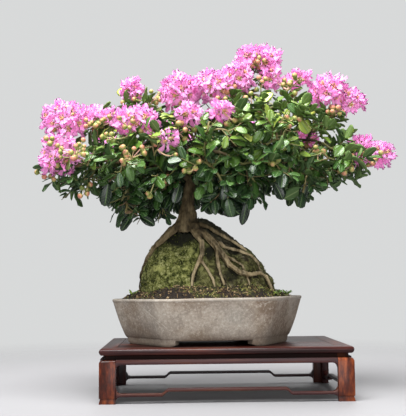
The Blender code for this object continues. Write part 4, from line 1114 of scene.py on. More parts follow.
# Each spray's shoots: where they end, what they bear, and how many of it.
SPRAYS = {
    "far_left_upper": [(-205, -15, 336, "flowers", 5), (-160, 18, 350, "buds", 2)],
    "far_left_middle": [(-198, -58, 292, "flowers", 5), (-217, -22, 276, "buds", 2)],
    "left_low": [(-168, -50, 257, "buds", 2), (-196, 25, 262, "leaves", 0)],
    "left_drooping": [(-120, -66, 224, "leaves", 0), (-132, -10, 236, "leaves", 0)],
    "left_crest": [(-116, 0, 374, "flowers", 3), (-92, -12, 366, "buds", 2)],
    "left_front": [(-112, -64, 322, "flowers", 5), (-120, -98, 284, "buds", 2)],
    "trunk_left": [(-80, -28, 235, "leaves", 0), (-72, -86, 264, "buds", 2)],
    "crest_left": [(-46, -34, 366, "flowers", 5), (-48, -88, 322, "flowers", 3)],
    "crest_middle": [(8, -32, 378, "flowers", 5), (14, -92, 330, "flowers", 3)],
    "front_low": [(-36, -124, 274, "buds", 2), (4, -84, 240, "leaves", 0)],
    "front_right": [(64, -98, 280, "buds", 3), (42, -70, 252, "leaves", 0)],
    "top": [(50, 2, 421, "flowers", 5), (28, 40, 398, "leaves", 0)],
    "top_right": [(86, -14, 388, "flowers", 3), (100, -52, 344, "buds", 2)],
    "right_crest": [(156, -8, 358, "flowers", 5), (128, 34, 358, "leaves", 0)],
    "far_right": [(190, -2, 300, "flowers", 5), (164, -42, 292, "buds", 2)],
    "right_low": [(136, -24, 274, "leaves", 0), (100, -46, 250, "leaves", 0)],
    "right_inner": [(114, 42, 318, "flowers", 2), (176, 48, 280, "leaves", 0)],
    "back_left": [(-150, 88, 314, "flowers", 3), (-120, 108, 268, "leaves", 0)],
    "back_middle": [(-62, 118, 334, "flowers", 4), (-40, 124, 276, "leaves", 0)],
    "back_right": [(42, 118, 338, "flowers", 3), (50, 124, 276, "leaves", 0)],
    "back_far_right": [(122, 96, 318, "leaves", 0), (110, 106, 268, "leaves", 0)],
}
CROWN_HEART = Vector((-10.0, 0.0, 285.0))
GAP = 0.3
GOLDEN_ANGLE = math.pi * (3 - math.sqrt(5))
print(len(LIMBS), "limbs and", len(SPRAYS), "sprays")

# %% Room for what grows
FORK_PULL, BRANCH_SHARE, BRANCHES_ABOVE, WOOD_STEP = 46.0, 0.55, 262.0, 5.0
BRANCH_RADII, STEM_RADII = (2.5, 1.7), (1.7, 1.2)
SHOOT_TRIES, SHOOT_NUDGE, SHOOT_CLEARANCE, BALL_STEP = 60, 0.35, 1.2, 4.0
MOST_BALLS, ROCK_BALL_MM = 60000, 4.0


class Room:
    """Balls along all that has grown, so that what comes next keeps clear of it."""

    def __init__(self):
        self.balls = np.zeros((MOST_BALLS, 4))
        self.owners = np.zeros(MOST_BALLS, dtype=int)
        self.count = 0
        self.names = {}

    def number(self, owner):
        return self.names.setdefault(owner, len(self.names))

    def fill(self, points, radii, owner):
        for point, radius in zip(points, radii):
            self.balls[self.count] = (*point, radius)
            self.owners[self.count] = self.number(owner)
            self.count += 1

    def near(self, middle, reach):
        """The numbers of the balls that come within this reach of a place."""
        balls = self.balls[:self.count]
        return np.flatnonzero(np.linalg.norm(balls[:, :3] - np.array(middle), axis=1) < balls[:, 3] + reach)

    def free(self, points, radii, owner, gap, own_share, among=None):
        """True where each ball keeps the gap to other owners' balls, and a share of it to its own."""
        among = slice(self.count) if among is None else among
        balls = self.balls[among]
        share = np.where(self.owners[among] == self.number(owner), own_share, 1.0)
        for point, radius in zip(points, radii):
            away = np.linalg.norm(balls[:, :3] - np.array(point), axis=1)
            if np.any(away < (balls[:, 3] + radius + gap) * share):
                return False
        return True


print("room for", MOST_BALLS, "balls")

# %% Places along a course
def spaced(path, step):
    """Places along a path, about a step apart."""
    out = [path[0]]
    for a, b in zip(path, path[1:]):
        parts = max(1, round((b - a).length / step))
        out += [a.lerp(b, k / parts) for k in range(1, parts + 1)]
    return out


def point_at(course, share):
    """The place and direction at a share of a course's length."""
    lengths = [(b - a).length for a, b in zip(course, course[1:])]
    left = share * sum(lengths)
    for a, b, length in zip(course, course[1:], lengths):
        if left <= length:
            return a.lerp(b, left / length), (b - a).normalized()
        left -= length
    return course[-1].copy(), (course[-1] - course[-2]).normalized()


print("halfway up the trunk:", [round(v) for v in point_at([Vector(row[:3]) for row in TRUNK], 0.5)[0]])

# %% Branches and shoots
def grow_shoots(room):
    """Branches for the tree, and for each spray its stems: seeded courses that keep clear."""
    wood = []
    for path in [TRUNK] + LIMBS:
        places = spaced([Vector(row[:3]) for row in path], WOOD_STEP)
        room.fill(places, [path[0][3]] * len(places), "tree")
        wood += [p for p in places if p.z > BRANCHES_ABOVE]
    branches, courses_of = [], {}
    for order, (name, tips) in enumerate(SPRAYS.items()):
        rng = random.Random(100 + order)
        ends = [Vector(tip[:3]) for tip in tips]
        middle = sum(ends, Vector()) / len(ends)
        anchor = min(wood, key=lambda p: (p - middle).length + 0.25 * (p - CROWN_HEART).length)
        reach = middle - anchor
        fork = middle - reach.normalized() * min(FORK_PULL, 0.5 * reach.length)
        for attempt in range(SHOOT_TRIES):
            nudge = random_step(rng, SHOOT_NUDGE * attempt)
            split = anchor.lerp(fork + nudge, BRANCH_SHARE) + UP * 3.0 + nudge * 0.4
            heading = (fork + nudge - anchor).normalized()
            start = split + heading * GAP
            courses = []
            for number, end in enumerate(ends):
                bend = (fork + nudge).lerp(end, 0.5) + UP * 3.5 + random_step(rng, 2.5)
                course = [fork + nudge, bend, end]
                courses.append([start, start + heading * 3.0] + course if number == 0 else course)
            balls = spaced(courses[0][1:], BALL_STEP)
            for course in courses[1:]:
                balls += spaced(course, BALL_STEP)
            branch = [anchor, anchor.lerp(split, 0.5) + UP * 1.5, split - heading * 3.0, split]
            places = spaced(branch, BALL_STEP)
            branch_widths = [BRANCH_RADII[0]] * (len(places) - 1) + [BRANCH_RADII[1]]
            stems_clear = room.free(balls, [STEM_RADII[0]] * len(balls), name, SHOOT_CLEARANCE, 0.0)
            if stems_clear and room.free(places, branch_widths, "tree", SHOOT_CLEARANCE, 0.0):
                break
        branches.append(branch)
        room.fill(places, branch_widths, "tree")
        wood += places[3:-1]
        room.fill(balls, [STEM_RADII[0]] * len(balls), name)
        courses_of[name] = courses
    return branches, courses_of


room = Room()
rock_points = [from_frame(vert.co) for vert in nodes["rock"].data.vertices]
room.fill(rock_points, [ROCK_BALL_MM] * len(rock_points), "rock")
branches, courses_of = grow_shoots(room)
print(len(branches), "branches and", sum(map(len, courses_of.values())), "shoots have grown")

# %% [markdown]
# ## Bark
# Old crepe myrtle sheds its bark and stays smooth: grey-tan with long paler patches, and fine
# furrows along the wood, with painted shade in its hollows. The roots are rougher, with a painted
# highlight on their ridges, and the wood under the crown gets painted shade. Young twigs are thin, and red or
# green.

# %% Bark and twig finishes
bark = Finish("tree bark", Specular_IOR_Level=0.3)
bark_clouds = bark.noise(26.0, 6.0, 0.62, bark.stretched((1.0, 1.0, 0.55)))
bark_fibres = bark.noise(120.0, 6.0, 0.66, bark.stretched((1.0, 1.0, 0.28)))
bark_figure = 0.5 * bark_clouds + 0.5 * bark_fibres
bark_colour = bark.ramp(bark_figure, (0.37, (0.010, 0.008, 0.003)), (0.44, (0.070, 0.050, 0.023)),
                        (0.51, (0.235, 0.175, 0.090)), (0.62, (0.58, 0.47, 0.28)))
bark_across, bark_height = bark.coordinate("X"), bark.coordinate("Z")
rootward = 1 - bark_height.between(0.175, 0.225)
bark_shaded = bark_height.between(0.186, 0.212) + 0.75 * (1 - bark_across.between(-0.066, -0.048))
bark_shaded = bark_shaded.between(0.0, 1.0)
bark_ridge = bark.mark("ridge")
# Painted shade under the crown and on the left root, a painted highlight on the roots' ridges, and painted
# shade in the hollows.
bark_colour = bark.layers(
    bark.mix(0.82 * bark_shaded, bark_colour, (0.22, 0.20, 0.15), "MULTIPLY"),
    (0.62 * rootward * (1 - 0.7 * bark_shaded) * bark_ridge.between(0.1, 1.2), (0.60, 0.49, 0.30)),
    (0.92 * (1 - bark_ridge.between(-0.9, 0.15)), (0.012, 0.010, 0.004)),
)
bark.set(Base_Color=bark_colour, Roughness=0.78)
bark.bump(bark_fibres + 0.7 * bark_clouds, 0.0014, 0.7)

twig_skin = Finish("young twigs", Roughness=0.6)
twig_skin.set(Base_Color=twig_skin.by_shade(
    (0.0, (0.16, 0.085, 0.045)), (0.45, (0.20, 0.155, 0.060)), (1.0, (0.17, 0.200, 0.055)),
))
print("the bark has", len(bark.tree.nodes), "nodes")

# %% [markdown]
# The trunk and the roots are the node's own mesh. The limbs and branches grow out of it as tubes,
# and one skin is laid over both, so that no seam shows where they join.

# %% Trunk and roots
TREE_VOXEL_MM, TREE_SMOOTH_STEPS, TREE_RIDGE_STEPS = 1.15, 3, 16
TRUNK_FROM = 214.0
LIMB_SIDES, BRANCH_SIDES = 14, 10
BARK_KNOBS_MM, KNOBBLY_Z = 1.3, (206.0, 262.0)
LEFT_ROOT_X, LEFT_ROOT_TOP_Z, THINNED_MM = -74.0, 205.0, 1.2


def bark_height_at(place, normal):
    """Low swellings and furrows that run along the wood."""
    low = Vector((place.x / 7.0, place.y / 7.0, place.z / 15.0))
    fine = Vector((place.x / 2.6, place.y / 2.6, place.z / 9.0))
    thinner = clamped((LEFT_ROOT_X - place.x) / 14.0) * (place.z < LEFT_ROOT_TOP_Z)
    knobs = max(thinner, KNOBBLY_Z[0] < place.z < KNOBBLY_Z[1]) * BARK_KNOBS_MM * noise.noise(place / 6.0)
    furrows = 0.70 * noise.noise(low) + 0.50 * noise.noise(fine) + 0.18 * noise.noise(place / 1.6)
    return furrows + knobs - thinner * THINNED_MM


tree = weld(copy_of("tree", "trunk_and_roots", bark))
heap = Heap()
for table in [TRUNK] + LIMBS:
    course = curved([Vector(row) for row in table], 5)
    if table is TRUNK:
        course = [row for row in course if row.z > TRUNK_FROM]
    add_tube(heap, [row.to_3d() for row in course], [row.w for row in course], LIMB_SIDES, 0, 0)
for branch in branches:
    course = curved(branch, 4)
    add_tube(heap, course, even(*BRANCH_RADII, len(course)), BRANCH_SIDES, 0, 0)
limbs = heap.become("limbs", [bark])
joined_up = bmesh.new()
joined_up.from_mesh(tree.data)
joined_up.from_mesh(limbs.data)
joined_up.to_mesh(tree.data)
joined_up.free()
bpy.data.objects.remove(limbs)
remeshed(tree, TREE_VOXEL_MM, TREE_SMOOTH_STEPS)
push_out(tree, bark_height_at)
mark_ridges(tree, TREE_RIDGE_STEPS)
piece_of(tree, "bark", "tree")

# %% [markdown]
# ## Leaves
# A crepe myrtle leaf is a smooth oval with a short tip and almost no stalk. It is folded a
# little along its midrib, arches over, and its edge ripples. The blade is two grids of points
# that share their border, so it is closed and thin at the edge. The top is deep green and
# glossy, and the underside is paler and dull, so each side has a finish of its own.

# %% Leaf finishes
leaf_top = Finish("leaf top", Specular_IOR_Level=0.5, Coat_Weight=0.18, Coat_Roughness=0.22)
along, across = leaf_top.mark("along"), leaf_top.mark("across")
side_run = (along - 0.16 * abs(across)) * 9.0
side_wave = leaf_top.node("ShaderNodeMath", {"operation": "FRACT"}, {0: side_run})[0]
side_vein = 1 - abs(side_wave - 0.5).between(0.02, 0.12)
midrib = 1 - abs(across).between(0.03, 0.13)
leaf_colour = leaf_top.by_shade(
    (0.0, (0.004, 0.014, 0.006)), (0.14, (0.012, 0.040, 0.010)), (0.34, (0.034, 0.098, 0.014)),
    (0.62, (0.105, 0.205, 0.024)), (0.85, (0.245, 0.340, 0.044)), (1.0, (0.42, 0.47, 0.09)),
)
veined = leaf_top.mix(0.30 * side_vein + 0.65 * midrib, leaf_colour, (0.135, 0.235, 0.075))
leaf_top.set(Base_Color=veined, Roughness=0.30 + 0.12 * side_vein)
leaf_top.bump(leaf_top.noise(180.0, 3.0, 0.5) - 0.7 * side_vein - midrib, 0.0005, 0.5)

leaf_under = Finish("leaf underside", Specular_IOR_Level=0.3, Roughness=0.65)
under_colour = leaf_under.by_shade((0.0, (0.014, 0.034, 0.014)), (0.3, (0.060, 0.115, 0.035)),
                                   (1.0, (0.16, 0.25, 0.07)))
under_rib = 1 - abs(leaf_under.mark("across")).between(0.04, 0.12)
leaf_under.set(Base_Color=leaf_under.mix(0.6 * under_rib, under_colour, (0.24, 0.31, 0.13)))
print("a leaf has", len(leaf_top.tree.nodes), "nodes above and", len(leaf_under.tree.nodes), "below")

# %% Thin closed blades
class Blade:
    """A closed thin blade: a grid of points on top, and one below that shares its border."""

    def __init__(self, outline, columns):
        rows, wide = len(outline), len(columns)
        self.along = np.repeat([u for u, _ in outline], wide)
        self.width = np.repeat([w for _, w in outline], wide)
        self.across = np.tile(columns, rows)
        self.inner = [i * wide + j for i in range(1, rows - 1) for j in range(1, wide - 1)]
        under = {index: rows * wide + k for k, index in enumerate(self.inner)}
        self.faces, downs = [], []
        for i in range(rows - 1):
            for j in range(wide - 1):
                ring = [i * wide + j, i * wide + j + 1, (i + 1) * wide + j + 1, (i + 1) * wide + j]
                self.faces += [tuple(ring), tuple(under.get(index, index) for index in reversed(ring))]
                downs += [0, 1]
        self.downs = np.array(downs)
        marks = np.column_stack([self.along, self.across])
        self.marks = np.vstack([marks, marks[self.inner]])

    def closed(self, top, down):
        """The points of the top and of the underside, which lies this far below."""
        return np.vstack([top, top[self.inner] + down])


LARGE_LEAF_BLADE = Blade(
    [(0.0, 0.035), (0.07, 0.09), (0.20, 0.58), (0.38, 0.92), (0.60, 1.0), (0.80, 0.87), (0.94, 0.50),
     (1.0, 0.08)],
    (-1.0, -0.55, 0.0, 0.55, 1.0))
SMALL_LEAF_BLADE = Blade(
    [(0.0, 0.06), (0.18, 0.54), (0.42, 0.97), (0.69, 0.97), (0.91, 0.60), (1.0, 0.10)],
    (-1.0, -0.5, 0.0, 0.5, 1.0))
LEAF_THICKNESS_MM = 0.45
LEAF_FOLD, LEAF_DROOP, LEAF_LEAN, LEAF_RIPPLE = (0.10, 0.42), (0.04, 0.34), (-0.12, 0.12), (0.02, 0.06)
RIPPLES_ALONG, OTHER_EDGE_SHIFT = 13.0, 2.1


def leaf_points(rng, blade, base, heading, normal, length, width):
    """The points of a blade with its own arch, fold, twist and ripples."""
    ahead, up = np.array(heading), np.array(normal)
    over = np.cross(ahead, up)
    fold, droop = rng.uniform(*LEAF_FOLD), rng.uniform(*LEAF_DROOP)
    lean, ripple, phase = rng.uniform(*LEAF_LEAN), rng.uniform(*LEAF_RIPPLE), rng.uniform(0, ANY_TURN)
    wide = blade.across * blade.width * width / 2
    rise = np.abs(wide) * fold - blade.along ** 2 * length * droop
    wave = np.sin(blade.along * RIPPLES_ALONG + phase + (blade.across > 0) * OTHER_EDGE_SHIFT)
    rise = rise + blade.across ** 2 * blade.width * ripple * length * wave
    sway = wide + lean * length * blade.along ** 2
    top = np.array(base) + np.outer(blade.along * length, ahead) + np.outer(sway, over) + np.outer(rise, up)
    return blade.closed(top, -up * LEAF_THICKNESS_MM)


for size, blade in (("large", LARGE_LEAF_BLADE), ("small", SMALL_LEAF_BLADE)):
    print("a", size, "leaf has", 2 * len(blade.faces), "triangles")

# %% [markdown]
# ## Foliage
# Each spray keeps the shoots, leaves and buds of its solid, and then gets what the solid leaves
# out: side twigs all along its stems and on the branch behind them, each with a handful of
# smaller leaves and one at its end. Leaves turn their faces up and outwards to the light, which
# is what makes the crown look full from every side. A leaf that would pass the edge of the
# object's box is left out.

# %% A leaf that finds room
LEAVES_PER_SHOOT = {"flowers": 3, "buds": 4, "leaves": 3}
LEAF_LENGTH, LEAF_WIDTH_SHARE = (23.0, 30.0), 0.60
LEAF_TRIES, LEAF_TURN, LEAF_SMALLER, OWN_SHARE = 16, 0.9, 0.85, 0.62
LEAF_TURN_STEP, END_LEAF_OPENING = 2.4, 0.25
FLOWER_ROOM, FLOWER_HEAD_REACH, FLOWER_SPACING = 7.0, 8.0, 20.0
BUD_RADIUS = 3.4


# A leaf takes the room of four balls: how far along it they lie, and how wide they are.
LEAF_BALLS_ALONG, LEAF_BALLS_WIDE = (0.3, 0.55, 0.78, 0.98), (0.30, 0.46, 0.42, 0.15)


def anywhere(point):
    return True


def place_leaf(room, rng, base, along, turn, owner, opening, sizes=LEAF_LENGTH, tries=LEAF_TRIES,
               own_share=OWN_SHARE, allowed=anywhere):
    """A leaf (base, heading, normal, length, width), turned about its stem until it has room."""
    outward = (base - CROWN_HEART).normalized()
    side = along.orthogonal().normalized()
    length = rng.uniform(*sizes)
    width = length * LEAF_WIDTH_SHARE * rng.uniform(0.92, 1.08)
    around = room.near(base, length * 1.6 + GAP)
    for attempt in range(tries):
        spun = Matrix.Rotation(turn + attempt * LEAF_TURN, 3, along) @ side
        heading = (spun * math.sin(opening) + along * math.cos(opening) + outward * 0.25).normalized()
        normal = square_to(heading, UP * 0.8 + outward * 0.75 + random_step(rng, 0.4))
        if attempt == tries // 2:
            length, width = length * LEAF_SMALLER, width * LEAF_SMALLER
        points = [base + heading * length * share for share in LEAF_BALLS_ALONG]
        radii = [width * share for share in LEAF_BALLS_WIDE]
        if allowed(points[-1]) and room.free(points, radii, owner, GAP, own_share, around):
            room.fill(points, radii, owner)
            return base, heading, normal, length, width
    return None


print("a leaf tries", LEAF_TRIES, "turns")

# %% Leaves, buds and flower room where the solids have them
def grow_flowers(room, rng, tip, towards, count, owner):
    """Takes the room of a flower head's flowers, as the solids have them."""
    outward = (tip - CROWN_HEART).normalized()
    axis = (towards * 0.5 + outward * 0.7 + UP * 0.35).normalized()
    reach = FLOWER_HEAD_REACH * math.sqrt(count)
    hub = tip + axis * (reach * 0.55 + 6.0)
    centres = []
    side = axis.orthogonal().normalized()
    beside = axis.cross(side)
    spin = rng.uniform(0, FULL_TURN)
    for k in range(count * 4):
        if len(centres) == count:
            break
        lean = 1.0 - 1.35 * (k + 0.5) / (count * 1.6)
        if lean < -0.45:
            break
        flat = math.sqrt(max(0.0, 1 - lean * lean))
        turn = spin + GOLDEN_ANGLE * k
        way = axis * lean + spoke(side, beside, turn) * flat
        centre = hub + way * reach * rng.uniform(0.9, 1.15)
        if any((centre - other).length < FLOWER_SPACING for other in centres):
            continue
        if not room.free([centre], [FLOWER_ROOM], owner, 1.0, 0.0):
            continue
        room.fill([centre], [FLOWER_ROOM], owner)
        rng.uniform(2.0, 6.0)  # The solids draw the place of the stalk's foot here.
        centres.append(centre)


heads, buds_of, leaves_of = {}, {}, {}
for order, (name, courses) in enumerate(courses_of.items()):
    rng = random.Random(500 + order)
    buds_of[name] = []
    for number, (course, tip) in enumerate(zip(courses, SPRAYS[name])):
        end, towards = point_at(course, 1.0)
        if tip[3] == "flowers":
            owner = "flowers_" + name + ("_low" if number else "")
            heads[owner] = end
            grow_flowers(room, rng, end, towards, tip[4], owner)
        for k in range(tip[4] if tip[3] == "buds" else 0):
            turn = Matrix.Rotation(k * LEAF_TURN_STEP + rng.uniform(0, 1), 3, towards)
            foot_place = end - towards * (1.0 + 5.0 * k)
            out = STEM_RADII[1] + BUD_RADIUS * 0.72
            centre = foot_place + turn @ towards.orthogonal().normalized() * out
            room.fill([centre], [BUD_RADIUS], name)
            buds_of[name].append((centre, (centre - foot_place).normalized(), BUD_RADIUS))
for order, (name, courses) in enumerate(courses_of.items()):
    rng = random.Random(900 + order)
    leaves_of[name] = []
    for course, tip in zip(courses, SPRAYS[name]):
        end, towards = point_at(course, 1.0)
        places = [(end - towards * 1.5, towards, END_LEAF_OPENING)] if tip[3] == "leaves" else []
        number = LEAVES_PER_SHOOT[tip[3]]
        for k in range(number):
            base, along_stem = point_at(course, 0.36 + 0.56 * (k + 0.5) / number)
            places.append((base, along_stem, rng.uniform(0.9, 1.3)))
        for k, (base, along_stem, opening) in enumerate(places):
            turn = k * LEAF_TURN_STEP + rng.uniform(0, 1)
            leaf = place_leaf(room, rng, base, along_stem, turn, name, opening)
            if leaf:
                leaves_of[name].append(leaf)
print(sum(map(len, leaves_of.values())), "large leaves, as in the solids")

# %% [markdown]
# The portrait shows some leaves so clearly that they are placed one by one, each on a stem from
# the nearest wood. They turn their faces to the camera.

# %% Leaves that the portrait shows one by one
# Each leaf: where it starts, where its tip is, and its width as a share of its length.
PORTRAIT_LEAVES = [
    ((-8, -62, 245), (17, -66, 220), 0.86), ((30, -60, 243), (23, -62, 210), 0.36),
    ((-28, -58, 245), (-12, -60, 226), 0.70), ((96, -50, 342), (109, -54, 326), 0.92),
    ((117, -40, 308), (133, -43, 299), 0.66), ((142, -36, 296), (154, -40, 309), 0.90),
    ((97, -45, 358), (110, -49, 371), 0.78), ((82, -52, 362), (93, -56, 350), 0.80),
    ((106, -40, 265), (100, -42, 244), 0.62), ((-110, -66, 225), (-125, -68, 203), 0.42),
    ((-104, -70, 221), (-84, -74, 212), 0.62), ((-14, -98, 279), (-22, -101, 298), 0.66),
    ((-42, -100, 272), (-23, -104, 281), 0.60), ((-141, -60, 263), (-145, -62, 234), 0.56),
    ((-53, -60, 262), (-60, -62, 236), 0.60), ((62, -60, 262), (74, -63, 241), 0.66),
    ((-20, -60, 330), (-33, -63, 346), 0.40), ((150, 6, 276), (172, 4, 282), 0.50),
]
TO_THE_CAMERA = Vector((0, -0.9, 0.45))
portrait_leaves = []
for base, tip, width_share in PORTRAIT_LEAVES:
    base, tip = Vector(base), Vector(tip)
    heading = (tip - base).normalized()
    length = (tip - base).length
    width = length * width_share
    portrait_leaves.append((base, heading, square_to(heading, TO_THE_CAMERA), length, width))
    places = [base.lerp(tip, share) for share in LEAF_BALLS_ALONG]
    room.fill(places, [width * share for share in LEAF_BALLS_WIDE], "portrait leaves")
print(len(portrait_leaves), "leaves of the portrait")

# %% [markdown]
# ## Where the blooms and buds are
# Every flower head of the solids gets its own mass of blooms, as wide and as full as the
# portrait shows it, round the same shoot's end. A mass is given by its middle, its half-widths
# across, in depth and upright, and a count. Smaller masses that the solids leave out stand on
# short shoots of their own, and so do the clusters of round buds. Their room is taken before the
# small leaves grow, so that no leaf passes through a flower.

# %% Bloom masses
MASSES = {
    "flowers_far_left_upper": [((-199, -20, 348), (33, 27, 26), 22)],
    "flowers_far_left_middle": [((-203, -45, 299), (25, 25, 30), 19)],
    "flowers_left_crest": [((-116, 0, 392), (15, 16, 15), 8)],
    "flowers_left_front": [((-108, -50, 340), (30, 26, 20), 16)],
    "flowers_crest_left": [((-53, -35, 381), (25, 26, 26), 20)],
    "flowers_crest_left_low": [((-43, -88, 341), (15, 14, 13), 7)],
    "flowers_crest_middle": [((-12, -30, 388), (28, 26, 23), 20)],
    "flowers_crest_middle_low": [((-3, -88, 345), (12, 13, 10), 5)],
    "flowers_top": [((39, -2, 437), (17, 18, 12), 7), ((64, 2, 432), (19, 20, 18), 10)],
    "flowers_top_right": [((67, -8, 404), (15, 17, 19), 9)],
    "flowers_right_crest": [((142, -8, 386), (25, 27, 22), 16), ((170, -8, 373), (21, 24, 18), 10)],
    "flowers_right_inner": [((116, 45, 331), (20, 18, 14), 9)],
    "flowers_far_right": [((184, -2, 309), (17, 22, 22), 10), ((211, 2, 305), (21, 22, 17), 10)],
    "flowers_back_left": [((-156, 92, 332), (24, 24, 20), 10)],
    "flowers_back_middle": [((-62, 122, 352), (28, 20, 22), 11)],
    "flowers_back_right": [((42, 122, 354), (25, 20, 20), 10)],
}
EXTRA_MASSES = {
    "blooms_far_left_crest": ((-165, 10, 359), (15, 16, 13), 6),
    "blooms_crest_right": ((22, -20, 402), (21, 22, 22), 14),
    "blooms_right_sparse": ((103, 0, 405), (16, 15, 12), 5),
    "blooms_front_low": ((-66, -104, 308), (8, 7, 4), 2),
    "blooms_left_link": ((-140, -20, 353), (12, 10, 8), 3),
}
MASS_ROOM_SHARE, FRONT_ROOM_MM, FRONT_SHARE = 0.86, 12.0, 0.8
# No leaf may hide the trunk below the crown, or close the gap in the crown at the right.
TRUNK_IN_SIGHT, TRUNK_WINDOW_MM, INNER_WINDOW_MM = (208, 262), 8.0, 9.0


def take_room(middle, halves):
    """Balls across a mass, and one in front, where the portrait shows it free of leaves."""
    radius = min(halves) * MASS_ROOM_SHARE
    for share in (-1.0, 0.0, 1.0):
        place = Vector(middle) + Vector((share * (halves[0] - radius), 0, 0))
        in_front = place - Vector((0, FRONT_ROOM_MM + radius * 0.5, 0))
        room.fill([place, in_front], [radius, radius * FRONT_SHARE], "blooms")


for y in range(25, -105, -12):
    room.fill([Vector((112 + 0.05 * y, y, 325 + 0.16 * y))], [INNER_WINDOW_MM], "blooms")
for z in range(*TRUNK_IN_SIGHT, 9):
    for y in range(-32, -104, -11):
        room.fill([Vector((-44, y, z))], [TRUNK_WINDOW_MM], "blooms")
for middle, halves, count in [*sum(MASSES.values(), []), *EXTRA_MASSES.values()]:
    take_room(middle, halves)
print("balls in the room:", room.count)

# %% Bud clusters
BUD_CLUSTERS = {
    "crest_left": ((-94, -8, 380), (17, 12, 8), 15), "far_left_shelf": ((-165, -36, 341), (8, 8, 6), 6),
    "left_shelf": ((-143, -66, 317), (8, 8, 7), 6), "left_front": ((-121, -80, 332), (12, 8, 8), 6),
    "far_left_low": ((-184, -72, 300), (18, 9, 12), 14), "far_left_edge": ((-212, -60, 310), (8, 7, 8), 4),
    "left_shelf_front": ((-111, -98, 287), (14, 9, 9), 11), "left_inner": ((-81, -92, 311), (8, 7, 7), 5),
    "single_front": ((-59, -112, 286), (3, 3, 3), 1), "pair_front": ((-43, -118, 271), (5, 3, 4), 2),
    "green_left": ((-170, -55, 252), (5, 4, 8), 3), "green_low": ((-89, -92, 245), (3, 3, 4), 2),
    "tip_left": ((-229, -28, 282), (5, 4, 4), 3), "tip_left_low": ((-213, -34, 270), (2, 2, 2), 1),
    "top": ((47, -14, 430), (10, 7, 8), 6), "under_top": ((53, -30, 396), (7, 6, 9), 4),
    "crest_right": ((31, -55, 371), (4, 3, 5), 2), "upper_right": ((93, -16, 402), (7, 6, 5), 4),
    "right_middle": ((75, -78, 334), (13, 8, 8), 9), "right_shelf": ((123, -52, 298), (7, 5, 3), 4),
    "far_right_low": ((154, -38, 283), (10, 7, 8), 7), "under_right_crest": ((148, -28, 357), (10, 6, 5), 5),
    "far_right_edge": ((201, -26, 297), (5, 4, 6), 3), "crest_front": ((-1, -74, 362), (7, 5, 4), 3),
    "crest_right_back": ((24, 34, 426), (9, 8, 5), 4), "left_crest_front": ((-145, -26, 348), (6, 5, 4), 3),
    "back_left": ((-120, 104, 322), (14, 8, 8), 7), "back_middle": ((-14, 118, 336), (14, 8, 8), 7),
    "back_right": ((92, 96, 332), (14, 8, 8), 7),
}
CLUSTER_BUD_RADIUS = (2.7, 3.8)
BUD_TRIES, BUD_WIDENING = 40, 0.08
bud_clusters = {}
for order, (name, (middle, halves, count)) in enumerate(BUD_CLUSTERS.items()):
    rng = random.Random(2500 + order)
    bud_clusters[name] = []
    for k in range(count):
        radius = rng.uniform(*CLUSTER_BUD_RADIUS)
        for attempt in range(BUD_TRIES):
            wider = 1 + BUD_WIDENING * attempt
            centre = Vector([m + rng.uniform(-h, h) * wider for m, h in zip(middle, halves)])
            apart = all((centre - other).length > radius + size for other, size in bud_clusters[name])
            if apart and room.free([centre], [radius], "blooms", GAP, 0.0):
                room.fill([centre], [radius], "blooms")
                bud_clusters[name].append((centre, radius))
                break
print(sum(map(len, bud_clusters.values())), "buds in", len(bud_clusters), "clusters")

# %% [markdown]
# ## The crown's outline
# The portrait gives the crown its outline: for places from left to right, how low and how high
# the leaves reach. From front to back the crown is rounded. Leaves that would hang lower than
# this don't grow.

# %% Outline of the crown
CROWN_OUTLINE = [
    (-178, 268, 330), (-156, 248, 337), (-140, 236, 346), (-124, 217, 356), (-92, 219, 372),
    (-72, 216, 370), (-53, 225, 362), (-34, 235, 366), (-14, 230, 372), (5, 224, 376),
    (24, 227, 382), (37, 240, 390), (53, 246, 394), (70, 252, 390), (86, 254, 378),
    (102, 256, 334), (118, 257, 312), (134, 260, 306), (153, 266, 306), (174, 276, 306),
]
OUTLINE_X, OUTLINE_LOW, OUTLINE_HIGH = np.transpose(CROWN_OUTLINE)
CROWN_DEPTH_MM, CROWN_HALF_MM, CROWN_MIDDLE_MM, RAGGED_MM = 112.0, 218.0, -30.0, 8.0
ROUNDED_BELOW, ROUNDED_ABOVE = 26.0, 44.0
FILL_TRIES, OPEN_SPACE_MM, SHOOT_REACH = 5200, 7.5, (10.0, 85.0)
LOWEST_X, LOWEST_Z = np.transpose([
    (-246, 266), (-212, 264), (-190, 262), *[row[:2] for row in CROWN_OUTLINE], (190, 284), (232, 292),
])
# The pieces of the filling, from left to right, and where each one ends.
FILL_PIECES = {
    "filling_left": -105.0, "filling_middle_left": -35.0,
    "filling_middle_right": 45.0, "filling_right": 999.0,
}


def crown_at(x, y):
    """The lowest and the highest leaf here, and how deep the crown is."""
    depth = CROWN_DEPTH_MM * math.sqrt(max(0.01, 1 - ((x - CROWN_MIDDLE_MM) / CROWN_HALF_MM) ** 2))
    edge = (y / depth) ** 2
    low = np.interp(x, OUTLINE_X, OUTLINE_LOW) + ROUNDED_BELOW * edge
    high = np.interp(x, OUTLINE_X, OUTLINE_HIGH) - ROUNDED_ABOVE * edge
    return low, high, depth


def in_outline(point):
    low, high, depth = crown_at(point.x, point.y)
    between_ends = OUTLINE_X[0] < point.x < OUTLINE_X[-1]
    return low < point.z < high and abs(point.y) < depth + RAGGED_MM and between_ends


def above_lowest(point):
    return point.z > np.interp(point.x, LOWEST_X, LOWEST_Z) - RAGGED_MM


print("the crown is", round(2 * crown_at(CROWN_MIDDLE_MM, 0.0)[2]), "mm deep")

# %% [markdown]
# ## Side twigs
# A side twig turns by the golden angle from the one before it, leans out and up, and bends a
# little. It grows only where at least one of its leaves finds room.

